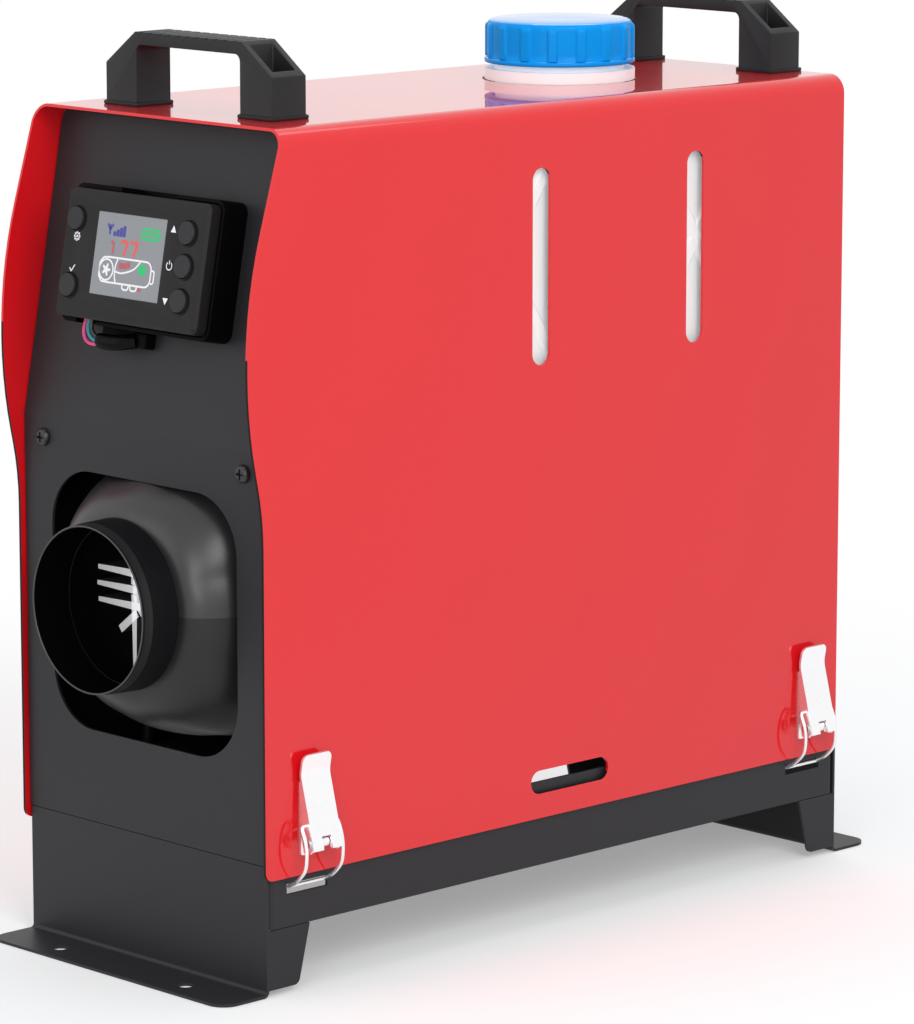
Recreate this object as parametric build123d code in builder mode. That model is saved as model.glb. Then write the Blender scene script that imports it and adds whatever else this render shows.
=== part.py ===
from build123d import *
import os
from math import atan2, cos, degrees, pi, radians, sin

# Diesel air heater in one upright case: a black sheet-metal base, a lift-off
# red cover held by four toggle latches, a fuel tank over the heater unit, a
# controller on the sloping front panel and a carrying handle at each end.
# Millimetres. X is across the case, -Y is the hot-air end, Z is up. The origin
# is on the floor, at the centre of the four bolt holes in the feet.

os.makedirs("parts", exist_ok=True)

# ---------------------------------------------------------------- case sizes
sheet = 1.2                     # folded steel of base, panels, tray and shelf
fold = 2.2                      # bend radius on the middle of the sheet
flat_gap = 0.3                  # gap between panels that lie edge to edge
fit_gap = 0.5                   # gap between the cover and what it covers

base_width = 145.2              # outside of the side rails
base_length = 336.0             # outside of the two leg plates
leg_height = 53.0
foot_reach = 23.5               # foot flange, out from the leg plate
foot_corner = 8.0
foot_hole_radius = 3.25
foot_hole_spacing = 78.0        # across the case
foot_hole_inset = 10.0          # from the flange's outer edge
gusset_bottom = 2.6             # gap under the side gussets
gusset_low_depth = 17.0
gusset_top_depth = 23.0
gusset_corner = 3.0
rail_bottom = 27.1
rail_top = 62.6
rail_flange = 22.0              # end flanges that carry the legs and panels
rail_stiffener = 7.0            # inward fold along the rail's bottom edge

cover_width = 150.0
cover_length = 335.7
cover_lead = 2.4                # cover's front edge ahead of the leg plate
cover_sheet = 1.2
cover_bottom = 47.8
cover_top = 343.7
cover_bend = 8.0                # outside radius along the two top edges
front_corner = 4.0              # rounded bottom front corners
belly_start = 193.4             # corners of the curved front edge, by height
belly_height = 257.9
belly_reach = 13.6
brow_slope = 0.299              # set-back per height above the belly
belly_radius = 190.0
waist_radius = 126.0

window_width = 10.0             # sight slots at tank level
window_bottom = 237.4
window_top = 318.1
window_front_inset = 152.2
window_rear_inset = 243.0
hand_slot_length = 45.5         # low oblong slot in the side wall
hand_slot_height = 9.8
hand_slot_inset = 169.9
hand_slot_z = 63.1
panel_tilt_z = 217.5            # the front panel leans back above this height
panel_tilt = 10.5
panel_flange = 12.0             # side flanges
panel_top_flange = 4.0
opening_width = 113.0           # rounded-square opening round each heater end
opening_height = 106.6
opening_corner = 24.0
opening_z = 144.8
rear_lap = 11.8                 # rear panel below the front panel's lower edge

tray_top = 215.6
tray_flange = 14.0
tray_half_width = 70.0
panel_screw_x = 61.0
panel_screw_z = 209.0
panel_screw_radius = 1.9
panel_screw_head = 4.0
panel_screw_head_height = 2.2
panel_screw_length = 8.0
screw_clearance = 0.3
nut_gap = 0.05                  # nut bore round its screw

# ---------------------------------------------------------------- fuel tank
tank_half_width = 70.4
tank_inset = 29.0               # from a leg plate's outside to the tank's end
tank_length = base_length - 2 * tank_inset
tank_top = 335.8
tank_wall = 2.6
tank_corner = 20.0
tank_edge = 7.0
tank_rib = 0.9                  # height of the moulded X ribs
tank_rib_width = 7.0
filler_inset = 238.0            # from the cover's front edge
neck_radius = 27.5
neck_bore = 23.5
neck_top = 364.2
neck_ring_radius = 32.0
neck_ring_bottom = 344.2
neck_ring_height = 4.2
cover_hole_gap = 1.0            # round the neck ring, so that the cover lifts off
outlet_x = -63.4
outlet_inset = 58.0
nipple_radius = 3.5
nipple_bore = 1.8
nipple_length = 9.0
nipple_hole_gap = 1.5
cap_radius = 31.4
cap_rib = 1.0
cap_rib_width = 2.6
cap_rib_count = 24
cap_lip = 1.3
cap_lip_height = 2.4
cap_bottom = 350.9
cap_height = 18.2
cap_wall = 2.6
cap_roof = 2.8
liner_thickness = 1.6
liner_gap = 0.3

# ---------------------------------------------------------------- handles
handle_half_width = 50.0
handle_leg = 19.0
handle_depth = 18.0
handle_inset = 2.5365           # front handle behind the front panel's brow
handle_rear_inset = 1.4
handle_bevel = 18.0             # run of the sloping shoulder
handle_shoulder = 17.0          # height of the upright part of each leg
handle_height = 30.2
handle_bar = 5.2
handle_inner_radius = 3.0
handle_foot = 1.6
handle_foot_lip = 0.8
handle_groove = 1.2
handle_groove_count = 11
handle_groove_pitch = 5.6
handle_groove_depth = 0.8
pocket_depth = 12.0
pocket_wall = 3.0
pocket_floor = 5.0
handle_screw_radius = 2.4
handle_screw_head = 4.4
handle_screw_head_height = 3.0
handle_screw_tail = 4.5

# ---------------------------------------------------------------- latches
latch_inset = 21.6              # latch middle from the leg plate
latch_slot_width = 21.7
latch_slot_height = 4.3
latch_slot_z = 42.4
lever_width = 15.4
lever_sheet = 1.0
lever_tip_z = 97.1
lever_tip_out = 3.9
lever_waist_z = 89.0
lever_waist_out = 2.3
lever_heel_z = 59.2
lever_heel_out = 10.0
lever_notch_width = 4.8
lever_notch_top = 64.5
lever_corner = 2.6
pivot_out = 6.5
pivot_z = 61.7
pivot_radius = 1.25
pivot_head_radius = 2.0
pivot_head = 0.5
latch_play = 0.1                # gap beside the pin heads
pin_play = 0.05                 # radial clearance of pins and wire ends
bail_out = 5.2
bail_z = 68.8
bail_wire = 0.8                 # wire radius
bail_half_width = 9.7
bail_bow_out = 9.0
bail_bow_z = 57.5
bail_turn_out = 3.3
bail_turn_z = 44.6
bail_hook_z = 43.2
bail_bend = 1.5
bail_bow_radius = 12.0
bail_turn_radius = 3.0
keeper_width = 12.4             # plate that carries the lever, riveted on
keeper_sheet = 1.0
keeper_bottom = 56.0
keeper_top = 86.0
knuckle_width = 4.0
knuckle_radius = 2.2
latch_rivet_z = (73.0, 81.0)
latch_rivet_radius = 1.7
latch_rivet_head = 2.9
latch_rivet_head_height = 0.8

# ---------------------------------------------------------------- heater unit
axis_z = 150.0                  # height of the hot-air duct's axis
spigot_radius = 33.4
spigot_wall = 2.2
spigot_reach = 29.4             # out from the leg plate
spigot_chamfer = 0.9            # thinned outer edge of the mouth
spigot_chamfer_length = 2.5
spigot_collar_radius = 35.0
spigot_collar = 2.0
dome_reach = 7.0                # dome's small end in front of the leg plate
dome_length = 46.6
shell_width = 110.0
shell_height = 114.0
shell_corner = 38.0
shell_wall = 2.5
shell_length = 250.0
shell_seam = 0.3
foot_window_gap = 0.3
intake_spigot_reach = 7.0       # cold-air ring, out from the rear leg plate
cowl_radius = 40.5
cowl_length = 10.0              # round part of the cold-air cowl
intake_ring_count = 4
intake_ring_width = 1.8
intake_spoke_count = 6
intake_spoke_width = 2.4
intake_guard_depth = 3.0
intake_hub = 9.0

exchanger_front = 30.0          # from the leg plate
exchanger_rear = 162.0
exchanger_radius = 34.0
exchanger_wall = 3.5
exchanger_dome = 12.0
fin_radius = 50.0
fin_nose_radius = 38.0
fin_nose_length = 22.0
fin_root = 14.0
fin_width = 2.6
fin_count = 18
flange_radius = 46.0
flange_depth = 6.0
burner_radius = 27.0
burner_wall = 1.5
burner_length = 92.0
burner_flange_gap = 0.3
plug_inset = 12.0               # glow plug ahead of the exchanger's rear face
plug_radius = 4.0
plug_hex = 5.5
plug_hex_height = 5.0
plug_tip = 16.0                 # from the duct's axis

blower_length = 50.0
blower_radius = 45.0
blower_wall = 4.0
blower_inlet_radius = 12.0
foot_half_width = 39.0
foot_length = 84.0
foot_block_top = 116.0
foot_neck_half_width = 30.0
shelf_top = 71.0
gasket_thickness = 1.4
shelf_half_width = 56.0
shelf_length = 250.0
ear_bottom = 46.0
ear_width = 60.0
ear_offset = 90.0
stud_x = 31.0
stud_inset = 8.0
stud_radius = 3.0
stud_depth = 10.0
stud_tail = 9.0
nut_width = 10.0
nut_height = 5.0
exhaust_x = 14.0
exhaust_inset = 22.0            # from the foot's front edge
exhaust_radius = 12.0
exhaust_wall = 1.5
combustion_intake_x = -10.0
combustion_intake_inset = 61.0
combustion_intake_radius = 12.5
combustion_intake_wall = 2.0
pipe_bottom = 50.0
pipe_seat = 3.0                 # pipe end inside the cast foot
pipe_gap = 0.6
pipe_shoulder = 0.5             # thicker upper end of a pipe, which stops a hose
pipe_shoulder_drop = 1.0        # below the shelf
fuel_nipple_x = -30.0
fuel_nipple_inset = 36.0

motor_radius = 24.0
motor_length = 44.0
shaft_radius = 2.5
shaft_play = 0.05
air_fan_radius = 46.0
air_fan_hub = 17.0
air_fan_length = 24.0
air_fan_blades = 9
air_fan_blade = 1.8
air_fan_root_angle = 52.0
air_fan_tip_angle = 24.0
air_fan_gap = 4.0
burner_fan_radius = 36.0
burner_fan_hub = 8.0
burner_fan_plate = 2.0
burner_fan_blade_height = 9.0
burner_fan_blade = 1.6
burner_fan_blades = 12
burner_fan_gap = 9.0            # behind the blower's front wall
control_unit_width = 70.0
control_unit_height = 22.0
control_unit_length = 42.0
control_unit_z = 175.0

# ---------------------------------------------------------------- fuel line
filter_radius = 7.0
filter_length = 44.0
filter_z = 153.0
filter_neck = 2.6
hose_radius = 2.5
pump_x = -48.0
pump_z = 49.5
pump_inset = 90.0               # behind the front leg plate
pump_radius = 13.0
pump_length = 60.0
pump_end_radius = 7.0
pump_end_length = 8.0
hose_bend = 10.0
fuel_nipple_reach = 6.0
sleeve_wall = 2.5
sleeve_length = 36.0
clamp_sheet = 1.5
clamp_width = 16.0
clamp_tab = 12.0

# ---------------------------------------------------------------- controller
controller_z = 284.6            # height of its middle on the panel's face
controller_x = 1.0
controller_width = 85.4
controller_height = 51.6
controller_depth = 18.0         # from the panel to the face
controller_wall = 2.0           # face and back
controller_side = 1.2           # side walls
controller_bevel = 1.2
controller_corner = 3.0
front_shell_depth = 7.0
cradle_wall = 1.8
cradle_gap = 0.3
cradle_depth = 12.5
cradle_back = 1.6
cradle_notch = 34.0
screen_width = 41.6
screen_height = 33.0
screen_x = -2.1
screen_up = 1.0
screen_thickness = 1.5
screen_recess = 0.3
button_radius = 4.6
button_gap = 0.3
button_proud = 1.0
button_flange = 5.2
button_flange_thickness = 1.0
button_rest = 0.2               # flange behind the face wall
button_stem = 2.0
switch_size = 6.0
switch_height = 1.6
button_travel = 0.8
switch_gap = 0.1                # left when a button is fully in
board_thickness = 1.6
button_right_inset = 11.4       # button centres from the controller's side edges
button_left_inset = 6.7
button_outer_up = 13.4
button_middle_up = 0.2
lead_exit_x = -29.0             # wires leave the housing here
lead_notch_depth = 2.8
lead_notch_width = 12.0
lead_start = (-23.5, -34.0, 10.0)   # x, up the panel, out of the panel
lead_middle = (-11.0, -33.6, 7.0)
lead_end = (-4.5, -31.5, 3.0)
lead_wire_radius = 0.8
lead_wire_pitch = 1.8
lead_bend = 2.6
lead_sleeve_wall = 0.7
lead_sleeve_depth = 3.6
lead_sleeve_bend = 8.0
lead_block_x = -3.5
lead_block_up = -31.4
lead_block_width = 8.0
lead_block_height = 6.4
lead_block_depth = 5.0
cradle_tab_x = -19.5
cradle_tab_width = 22.0
cradle_tab_drop = 4.4

# ---------------------------------------------------------------- worked out
front_face = -base_length / 2
rear_face = base_length / 2
half_base = base_width / 2
half_cover = cover_width / 2
cover_front = front_face - cover_lead
cover_rear = cover_front + cover_length
cover_inner_top = cover_top - cover_sheet
panel_half = half_cover - cover_sheet - fit_gap
panel_top = cover_inner_top - fit_gap
panel_corner = cover_bend - cover_sheet
front_inner = front_face + sheet
panel_bottom = leg_height + flat_gap
rear_panel_face = rear_face - 2 * sheet
rear_inner = rear_panel_face - sheet
filler_y = cover_front + filler_inset
outlet_y = cover_front + outlet_inset
foot_hole_y = base_length / 2 + foot_reach - foot_hole_inset
tank_middle_y = (front_inner + rear_inner) / 2
exchanger_front_y = front_face + exchanger_front
blower_front = front_face + exchanger_rear
blower_rear = blower_front + blower_length
foot_bottom = shelf_top + gasket_thickness
foot_front = blower_front + 2.0 * flat_gap
foot_rear = foot_front + foot_length
motor_rear = blower_rear + motor_length
dome_front = front_face - dome_reach
shell_front = dome_front + dome_length
shell_rear = shell_front + shell_length
cowl_rear = rear_face + intake_spigot_reach - cowl_length
button_right = controller_width / 2 - button_right_inset
button_left = button_left_inset - controller_width / 2
buttons = {
    "button_up": (button_right, button_outer_up),
    "button_power": (button_right, button_middle_up),
    "button_down": (button_right, -button_outer_up),
    "button_settings": (button_left, button_outer_up),
    "button_confirm": (button_left, -button_outer_up),
}
panel_normal = Vector(0, -cos(radians(panel_tilt)), sin(radians(panel_tilt)))
panel_up = Vector(0, sin(radians(panel_tilt)), cos(radians(panel_tilt)))
lean = sin(radians(panel_tilt)) / cos(radians(panel_tilt))
tilt_face = front_face + sheet / 2 - sheet / 2 / cos(radians(panel_tilt))
controller_spot = Vector(
    controller_x, tilt_face + (controller_z - panel_tilt_z) * lean, controller_z
)


def across(y, z=0.0):
    """Plane square to Y: its X is the case's X and its Y is up."""
    return Plane(origin=(0, y, z), x_dir=(1, 0, 0), z_dir=(0, -1, 0))


def along(x, z=0.0):
    """Plane square to X: its X is the case's Y and its Y is up."""
    return Plane(origin=(x, 0, z), x_dir=(0, 1, 0), z_dir=(1, 0, 0))


def level(z):
    """Horizontal plane at height z."""
    return Plane.XY.offset(z)


def on_panel(out):
    """Plane parallel to the sloping front panel, that far out from its face."""
    return Plane(origin=controller_spot + panel_normal * out, x_dir=(1, 0, 0), z_dir=panel_normal)


def finish(piece, name):
    """Names a finished piece and writes its file."""
    piece.part.label = name
    export_step(piece.part, "parts/" + name + ".step")


duct_axis = Axis((0, 0, axis_z), (0, 1, 0))

# ================================================================ base frame


def build_leg(end):
    """One leg plate with its foot flange and side gussets, folded from sheet."""
    face = end * base_length / 2
    mid = face - end * sheet / 2
    inside = face - end * sheet
    with BuildPart() as leg:
        with BuildSketch(Plane.YZ):
            with BuildLine() as fold_line:
                FilletPolyline(
                    (face + end * foot_reach, sheet / 2),
                    (mid, sheet / 2),
                    (mid, leg_height),
                    radius=fold,
                )
            trace(line_width=sheet)
        extrude(amount=half_base, both=True)
        outer = -1 if end > 0 else 0
        foot_edges = leg.edges().filter_by(Axis.Z).group_by(Axis.Y)[outer]
        fillet(foot_edges, foot_corner)
        for wall in (-half_base, half_base - sheet):
            with BuildSketch(along(wall)) as gusset:
                with BuildLine():
                    Polyline(
                        (inside, gusset_bottom),
                        (face - end * gusset_low_depth, gusset_bottom),
                        (face - end * gusset_top_depth, rail_bottom - flat_gap),
                        (inside, rail_bottom - flat_gap),
                        close=True,
                    )
                make_face()
                low = gusset.vertices().group_by(Axis.Y)[0]
                tip = low.sort_by(Axis.X)[0 if end > 0 else -1]
                fillet(tip, gusset_corner)
            extrude(amount=sheet)
        holes = [(side * foot_hole_spacing / 2, end * foot_hole_y, sheet) for side in (-1, 1)]
        with Locations(*holes):
            Hole(radius=foot_hole_radius, depth=sheet)
    return leg


def build_rail(side):
    """One side rail: a deep strip with end flanges and the two latch slots."""
    outside = side * (half_base - sheet / 2)
    inset = side * (half_base - rail_flange)
    end = base_length / 2 - 1.5 * sheet
    with BuildPart() as rail:
        with BuildSketch(level(rail_bottom)):
            with BuildLine():
                FilletPolyline(
                    (inset, -end), (outside, -end), (outside, end), (inset, end), radius=fold
                )
            trace(line_width=sheet)
        extrude(amount=rail_top - rail_bottom)
        fold_middle = side * (half_base - sheet - rail_stiffener / 2)
        fold_length = base_length - 2 * (rail_flange + gusset_top_depth)
        with BuildSketch(level(rail_bottom)):
            with Locations((fold_middle, 0)):
                Rectangle(rail_stiffener, fold_length)
        extrude(amount=sheet)
        slot_spots = [(e * (base_length / 2 - latch_inset), latch_slot_z) for e in (-1, 1)]
        with BuildSketch(along(outside - sheet)):
            with Locations(*slot_spots):
                Rectangle(latch_slot_width, latch_slot_height)
        extrude(amount=2 * sheet, mode=Mode.SUBTRACT)
    return rail


for end, name in ((-1, "front_leg"), (1, "rear_leg")):
    finish(build_leg(end), name)
for side, name in ((-1, "left_rail"), (1, "right_rail")):
    finish(build_rail(side), name)

# The heater's shelf is a plate whose four ears drop inside the rails. Only the
# exhaust, the combustion air, the fuel and the studs go through it.
stud_y = (foot_front + stud_inset, foot_rear - stud_inset)
stud_spots = [(x, y) for x in (-stud_x, stud_x) for y in stud_y]
exhaust_spot = (exhaust_x, foot_front + exhaust_inset)
combustion_intake_spot = (combustion_intake_x, foot_front + combustion_intake_inset)
fuel_spot = (fuel_nipple_x, foot_front + fuel_nipple_inset)
ear_x = half_base - 1.5 * sheet

with BuildPart() as heater_shelf:
    with BuildSketch(level(shelf_top - sheet)):
        Rectangle(2 * shelf_half_width, shelf_length)
    extrude(amount=sheet)
    for ear_y in (-ear_offset, ear_offset):
        with BuildSketch(across(ear_y)):
            with BuildLine():
                FilletPolyline(
                    (-ear_x, ear_bottom),
                    (-ear_x, shelf_top - sheet / 2),
                    (ear_x, shelf_top - sheet / 2),
                    (ear_x, ear_bottom),
                    radius=fold,
                )
            trace(line_width=sheet)
        extrude(amount=ear_width / 2, both=True)
    with BuildSketch(level(shelf_top - sheet)):
        with Locations(exhaust_spot):
            Circle(exhaust_radius + pipe_shoulder + pipe_gap)
        with Locations(combustion_intake_spot):
            Circle(combustion_intake_radius + pipe_shoulder + pipe_gap)
        with Locations(fuel_spot):
            Circle(nipple_radius + pipe_gap)
        with Locations((outlet_x, outlet_y)):
            Circle(nipple_radius + pipe_gap)
        with Locations(*stud_spots):
            Circle(stud_radius + screw_clearance)
    extrude(amount=sheet, mode=Mode.SUBTRACT)
finish(heater_shelf, "heater_shelf")

# ================================================================ end panels


def panel_outline(bottom):
    """Front view of a panel: square below, rounded where the cover is bent."""
    with BuildSketch() as outline:
        with Locations((0, (bottom + panel_top) / 2)):
            Rectangle(2 * panel_half, panel_top - bottom)
        fillet(outline.vertices().group_by(Axis.Y)[-1], panel_corner)
    return outline.sketch


tilt_run = (panel_top - sheet / 2 - panel_tilt_z) * lean
panel_mid = front_face + sheet / 2
brow_y = panel_mid + tilt_run
with BuildPart() as front_panel:
    with BuildSketch(Plane.YZ):
        with BuildLine():
            FilletPolyline(
                (panel_mid, panel_bottom),
                (panel_mid, panel_tilt_z),
                (brow_y, panel_top - sheet / 2),
                (brow_y + panel_top_flange, panel_top - sheet / 2),
                radius=fold,
            )
        trace(line_width=sheet)
    extrude(amount=half_cover, both=True)
    for wall in (-panel_half, panel_half - sheet):
        with BuildSketch(along(wall)):
            with BuildLine():
                Polyline(
                    (front_face + sheet, rail_top + flat_gap),
                    (front_face + sheet, panel_tilt_z),
                    (brow_y, panel_top - cover_bend),
                    (brow_y + panel_flange, panel_top - cover_bend),
                    (front_face + panel_flange, panel_tilt_z),
                    (front_face + panel_flange, rail_top + flat_gap),
                    close=True,
                )
            make_face()
        extrude(amount=sheet)
    with BuildSketch(across(front_face - sheet)):
        add(panel_outline(panel_bottom))
    extrude(amount=-base_length / 3, mode=Mode.INTERSECT)
    with BuildSketch(across(front_face - sheet)):
        with Locations((0, opening_z)):
            RectangleRounded(opening_width, opening_height, opening_corner)
        with Locations((-panel_screw_x, panel_screw_z), (panel_screw_x, panel_screw_z)):
            Circle(panel_screw_radius + screw_clearance)
    extrude(amount=-3 * sheet, mode=Mode.SUBTRACT)
finish(front_panel, "front_panel")

rear_mid = rear_panel_face - sheet / 2
with BuildPart() as rear_panel:
    with BuildSketch(Plane.YZ):
        with BuildLine():
            FilletPolyline(
                (rear_mid, panel_bottom - rear_lap),
                (rear_mid, panel_top - sheet / 2),
                (rear_mid - panel_top_flange, panel_top - sheet / 2),
                radius=fold,
            )
        trace(line_width=sheet)
    extrude(amount=half_cover, both=True)
    for wall in (-panel_half, panel_half - sheet):
        with BuildSketch(along(wall)):
            with Locations((rear_inner - panel_flange / 2, (rail_top + panel_top) / 2)):
                Rectangle(panel_flange, panel_top - rail_top - 2 * cover_bend)
        extrude(amount=sheet)
    with BuildSketch(across(rear_panel_face)):
        add(panel_outline(panel_bottom - rear_lap))
    extrude(amount=base_length / 3, mode=Mode.INTERSECT)
    inside_rails = 2 * (half_base - sheet - fold)
    with BuildSketch(across(rear_panel_face)):
        for wall in (-1, 1):
            with Locations((wall * (inside_rails + half_cover) / 2, rail_top + flat_gap)):
                Rectangle(half_cover, rail_top, align=(Align.CENTER, Align.MAX))
    extrude(amount=base_length / 3, mode=Mode.SUBTRACT)
    with BuildSketch(across(rear_face)):
        with Locations((0, opening_z)):
            RectangleRounded(opening_width, opening_height, opening_corner)
        with Locations((-panel_screw_x, panel_screw_z), (panel_screw_x, panel_screw_z)):
            Circle(panel_screw_radius + screw_clearance)
    extrude(amount=5 * sheet, mode=Mode.SUBTRACT)
finish(rear_panel, "rear_panel")

# The tank tray spans the two panels. The four panel screws go through its flanges.
with BuildPart() as tank_tray:
    with BuildSketch(Plane.YZ):
        with BuildLine():
            FilletPolyline(
                (front_inner + sheet / 2, tray_top - tray_flange),
                (front_inner + sheet / 2, tray_top - sheet / 2),
                (rear_inner - sheet / 2, tray_top - sheet / 2),
                (rear_inner - sheet / 2, tray_top - tray_flange),
                radius=fold,
            )
        trace(line_width=sheet)
    extrude(amount=tray_half_width, both=True)
    with BuildSketch(across(front_face)):
        with Locations((-panel_screw_x, panel_screw_z), (panel_screw_x, panel_screw_z)):
            Circle(panel_screw_radius + screw_clearance)
    extrude(amount=-base_length, mode=Mode.SUBTRACT)
    with BuildSketch(level(tray_top - sheet)):
        with Locations((outlet_x, outlet_y)):
            Circle(nipple_radius + nipple_hole_gap)
    extrude(amount=sheet, mode=Mode.SUBTRACT)
finish(tank_tray, "tank_tray")


def panel_screw(face, outward):
    """Round pan head seated on a panel, with its shank through the tray flange."""
    with BuildPart(mode=Mode.PRIVATE) as screw:
        with BuildSketch(across(face)):
            with Locations((-panel_screw_x, panel_screw_z), (panel_screw_x, panel_screw_z)):
                Circle(panel_screw_radius)
        extrude(amount=outward * panel_screw_length)
        with BuildSketch(across(face)):
            with Locations((-panel_screw_x, panel_screw_z), (panel_screw_x, panel_screw_z)):
                Circle(panel_screw_head)
        extrude(amount=-outward * panel_screw_head_height, taper=20)
    return screw.part


with BuildPart() as panel_screws:
    add(panel_screw(front_face, -1))
    add(panel_screw(rear_panel_face, 1))
finish(panel_screws, "panel_screws")

# ================================================================ red cover
belly_y = cover_front - belly_reach
brow_top_y = belly_y + (cover_top - belly_height) * brow_slope
with BuildPart() as cover:
    with BuildSketch(Plane.YZ) as side_view:
        with BuildLine():
            FilletPolyline(
                (cover_front, cover_bottom),
                (cover_front, belly_start),
                (belly_y, belly_height),
                (brow_top_y, cover_top),
                radius=(waist_radius, belly_radius),
            )
            Polyline(
                (brow_top_y, cover_top),
                (cover_rear, cover_top),
                (cover_rear, cover_bottom),
                (cover_front, cover_bottom),
            )
        make_face()
        fillet(side_view.vertices().group_by(Axis.Y)[0], front_corner)
    extrude(amount=half_cover, both=True)
    with BuildSketch(across(cover_rear + fit_gap)) as arch:
        with BuildLine():
            FilletPolyline(
                (-half_cover + cover_sheet / 2, cover_bottom - cover_bend),
                (-half_cover + cover_sheet / 2, cover_top - cover_sheet / 2),
                (half_cover - cover_sheet / 2, cover_top - cover_sheet / 2),
                (half_cover - cover_sheet / 2, cover_bottom - cover_bend),
                radius=cover_bend - cover_sheet / 2,
            )
        trace(line_width=cover_sheet)
    extrude(amount=cover_length + 2 * belly_reach, mode=Mode.INTERSECT)
    window_z = (window_bottom + window_top) / 2
    window_height = window_top - window_bottom
    with BuildSketch(along(-cover_width)):
        with Locations(
            (cover_front + window_front_inset, window_z),
            (cover_front + window_rear_inset, window_z),
        ):
            SlotOverall(window_height, window_width, rotation=90)
        with Locations((cover_front + hand_slot_inset, hand_slot_z)):
            SlotOverall(hand_slot_length, hand_slot_height)
    extrude(amount=2 * cover_width, mode=Mode.SUBTRACT)
    with BuildSketch(level(cover_inner_top - cover_sheet)):
        with Locations((0, filler_y)):
            Circle(neck_ring_radius + cover_hole_gap)
    extrude(amount=3 * cover_sheet, mode=Mode.SUBTRACT)
    handle_leg_x = handle_half_width - handle_leg / 2
    handle_middles = (
        brow_y + handle_inset + handle_depth / 2,
        cover_rear - handle_rear_inset - handle_depth / 2,
    )
    handle_screw_spots = [(s * handle_leg_x, y) for s in (-1, 1) for y in handle_middles]
    with BuildSketch(level(cover_inner_top - cover_sheet)):
        with Locations(*handle_screw_spots):
            Circle(handle_screw_radius + screw_clearance)
    extrude(amount=3 * cover_sheet, mode=Mode.SUBTRACT)
    latch_middles = (front_face + latch_inset, rear_face - latch_inset)
    with BuildSketch(along(-cover_width)):
        with Locations(*[(y, z) for y in latch_middles for z in latch_rivet_z]):
            Circle(latch_rivet_radius + screw_clearance)
    extrude(amount=2 * cover_width, mode=Mode.SUBTRACT)
finish(cover, "cover")

# ================================================================ handles


def build_handle(middle):
    """Moulded bow handle with a bevelled shoulder and a screw pocket on each leg."""
    top = cover_top + handle_height
    shoulder_z = cover_top + handle_shoulder
    leg_inside = handle_half_width - handle_leg
    leg_x = handle_half_width - handle_leg / 2
    with BuildPart() as handle:
        with BuildSketch(across(middle)) as bow:
            with BuildLine():
                Polyline(
                    (-handle_half_width, cover_top),
                    (-handle_half_width, shoulder_z),
                    (-handle_half_width + handle_bevel, top),
                    (handle_half_width - handle_bevel, top),
                    (handle_half_width, shoulder_z),
                    (handle_half_width, cover_top),
                    close=True,
                )
            make_face()
            with BuildLine():
                Polyline(
                    (-leg_inside, cover_top - flat_gap),
                    (-leg_inside, top - handle_bar),
                    (leg_inside, top - handle_bar),
                    (leg_inside, cover_top - flat_gap),
                    close=True,
                )
            make_face(mode=Mode.SUBTRACT)
        extrude(amount=handle_depth / 2, both=True)
        inner = handle.edges().filter_by(Axis.Y).filter_by_position(
            Axis.Z, top - handle_bar - flat_gap, top - handle_bar + flat_gap
        )
        fillet(inner, handle_inner_radius)
        with BuildSketch(level(cover_top)):
            with Locations((-leg_x, middle), (leg_x, middle)):
                Rectangle(handle_leg + 2 * handle_foot_lip, handle_depth + 2 * handle_foot_lip)
        extrude(amount=handle_foot)
        with BuildSketch(level(cover_top + pocket_floor)):
            with Locations((-leg_x, middle), (leg_x, middle)):
                Rectangle(handle_leg - 2 * pocket_wall, handle_depth - 2 * pocket_wall)
        extrude(amount=handle_height, mode=Mode.SUBTRACT)
        with Locations((-leg_x, middle, cover_top + pocket_floor), (leg_x, middle, cover_top + pocket_floor)):
            Hole(radius=handle_screw_radius + screw_clearance, depth=pocket_floor)
        with BuildSketch(level(top)):
            with Locations((0, middle)):
                with GridLocations(handle_groove_pitch, 0, handle_groove_count, 1):
                    Rectangle(handle_groove, handle_depth)
        extrude(amount=-handle_groove_depth, mode=Mode.SUBTRACT)
    return handle


for middle, name in zip(handle_middles, ("front_handle", "rear_handle")):
    finish(build_handle(middle), name)

with BuildPart() as handle_screws:
    seat = cover_top + pocket_floor
    with BuildSketch(level(seat)):
        with Locations(*handle_screw_spots):
            Circle(handle_screw_head)
    extrude(amount=handle_screw_head_height, taper=15)
    with BuildSketch(level(seat)):
        with Locations(*handle_screw_spots):
            Circle(handle_screw_radius)
    extrude(amount=-(pocket_floor + cover_sheet + handle_screw_tail))
    with BuildSketch(level(cover_inner_top)):
        with Locations(*handle_screw_spots):
            RegularPolygon(handle_screw_head, 6)
            Circle(handle_screw_radius + nut_gap, mode=Mode.SUBTRACT)
    extrude(amount=-(handle_screw_tail - fit_gap))
finish(handle_screws, "handle_screws")

# ================================================================ latches


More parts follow.
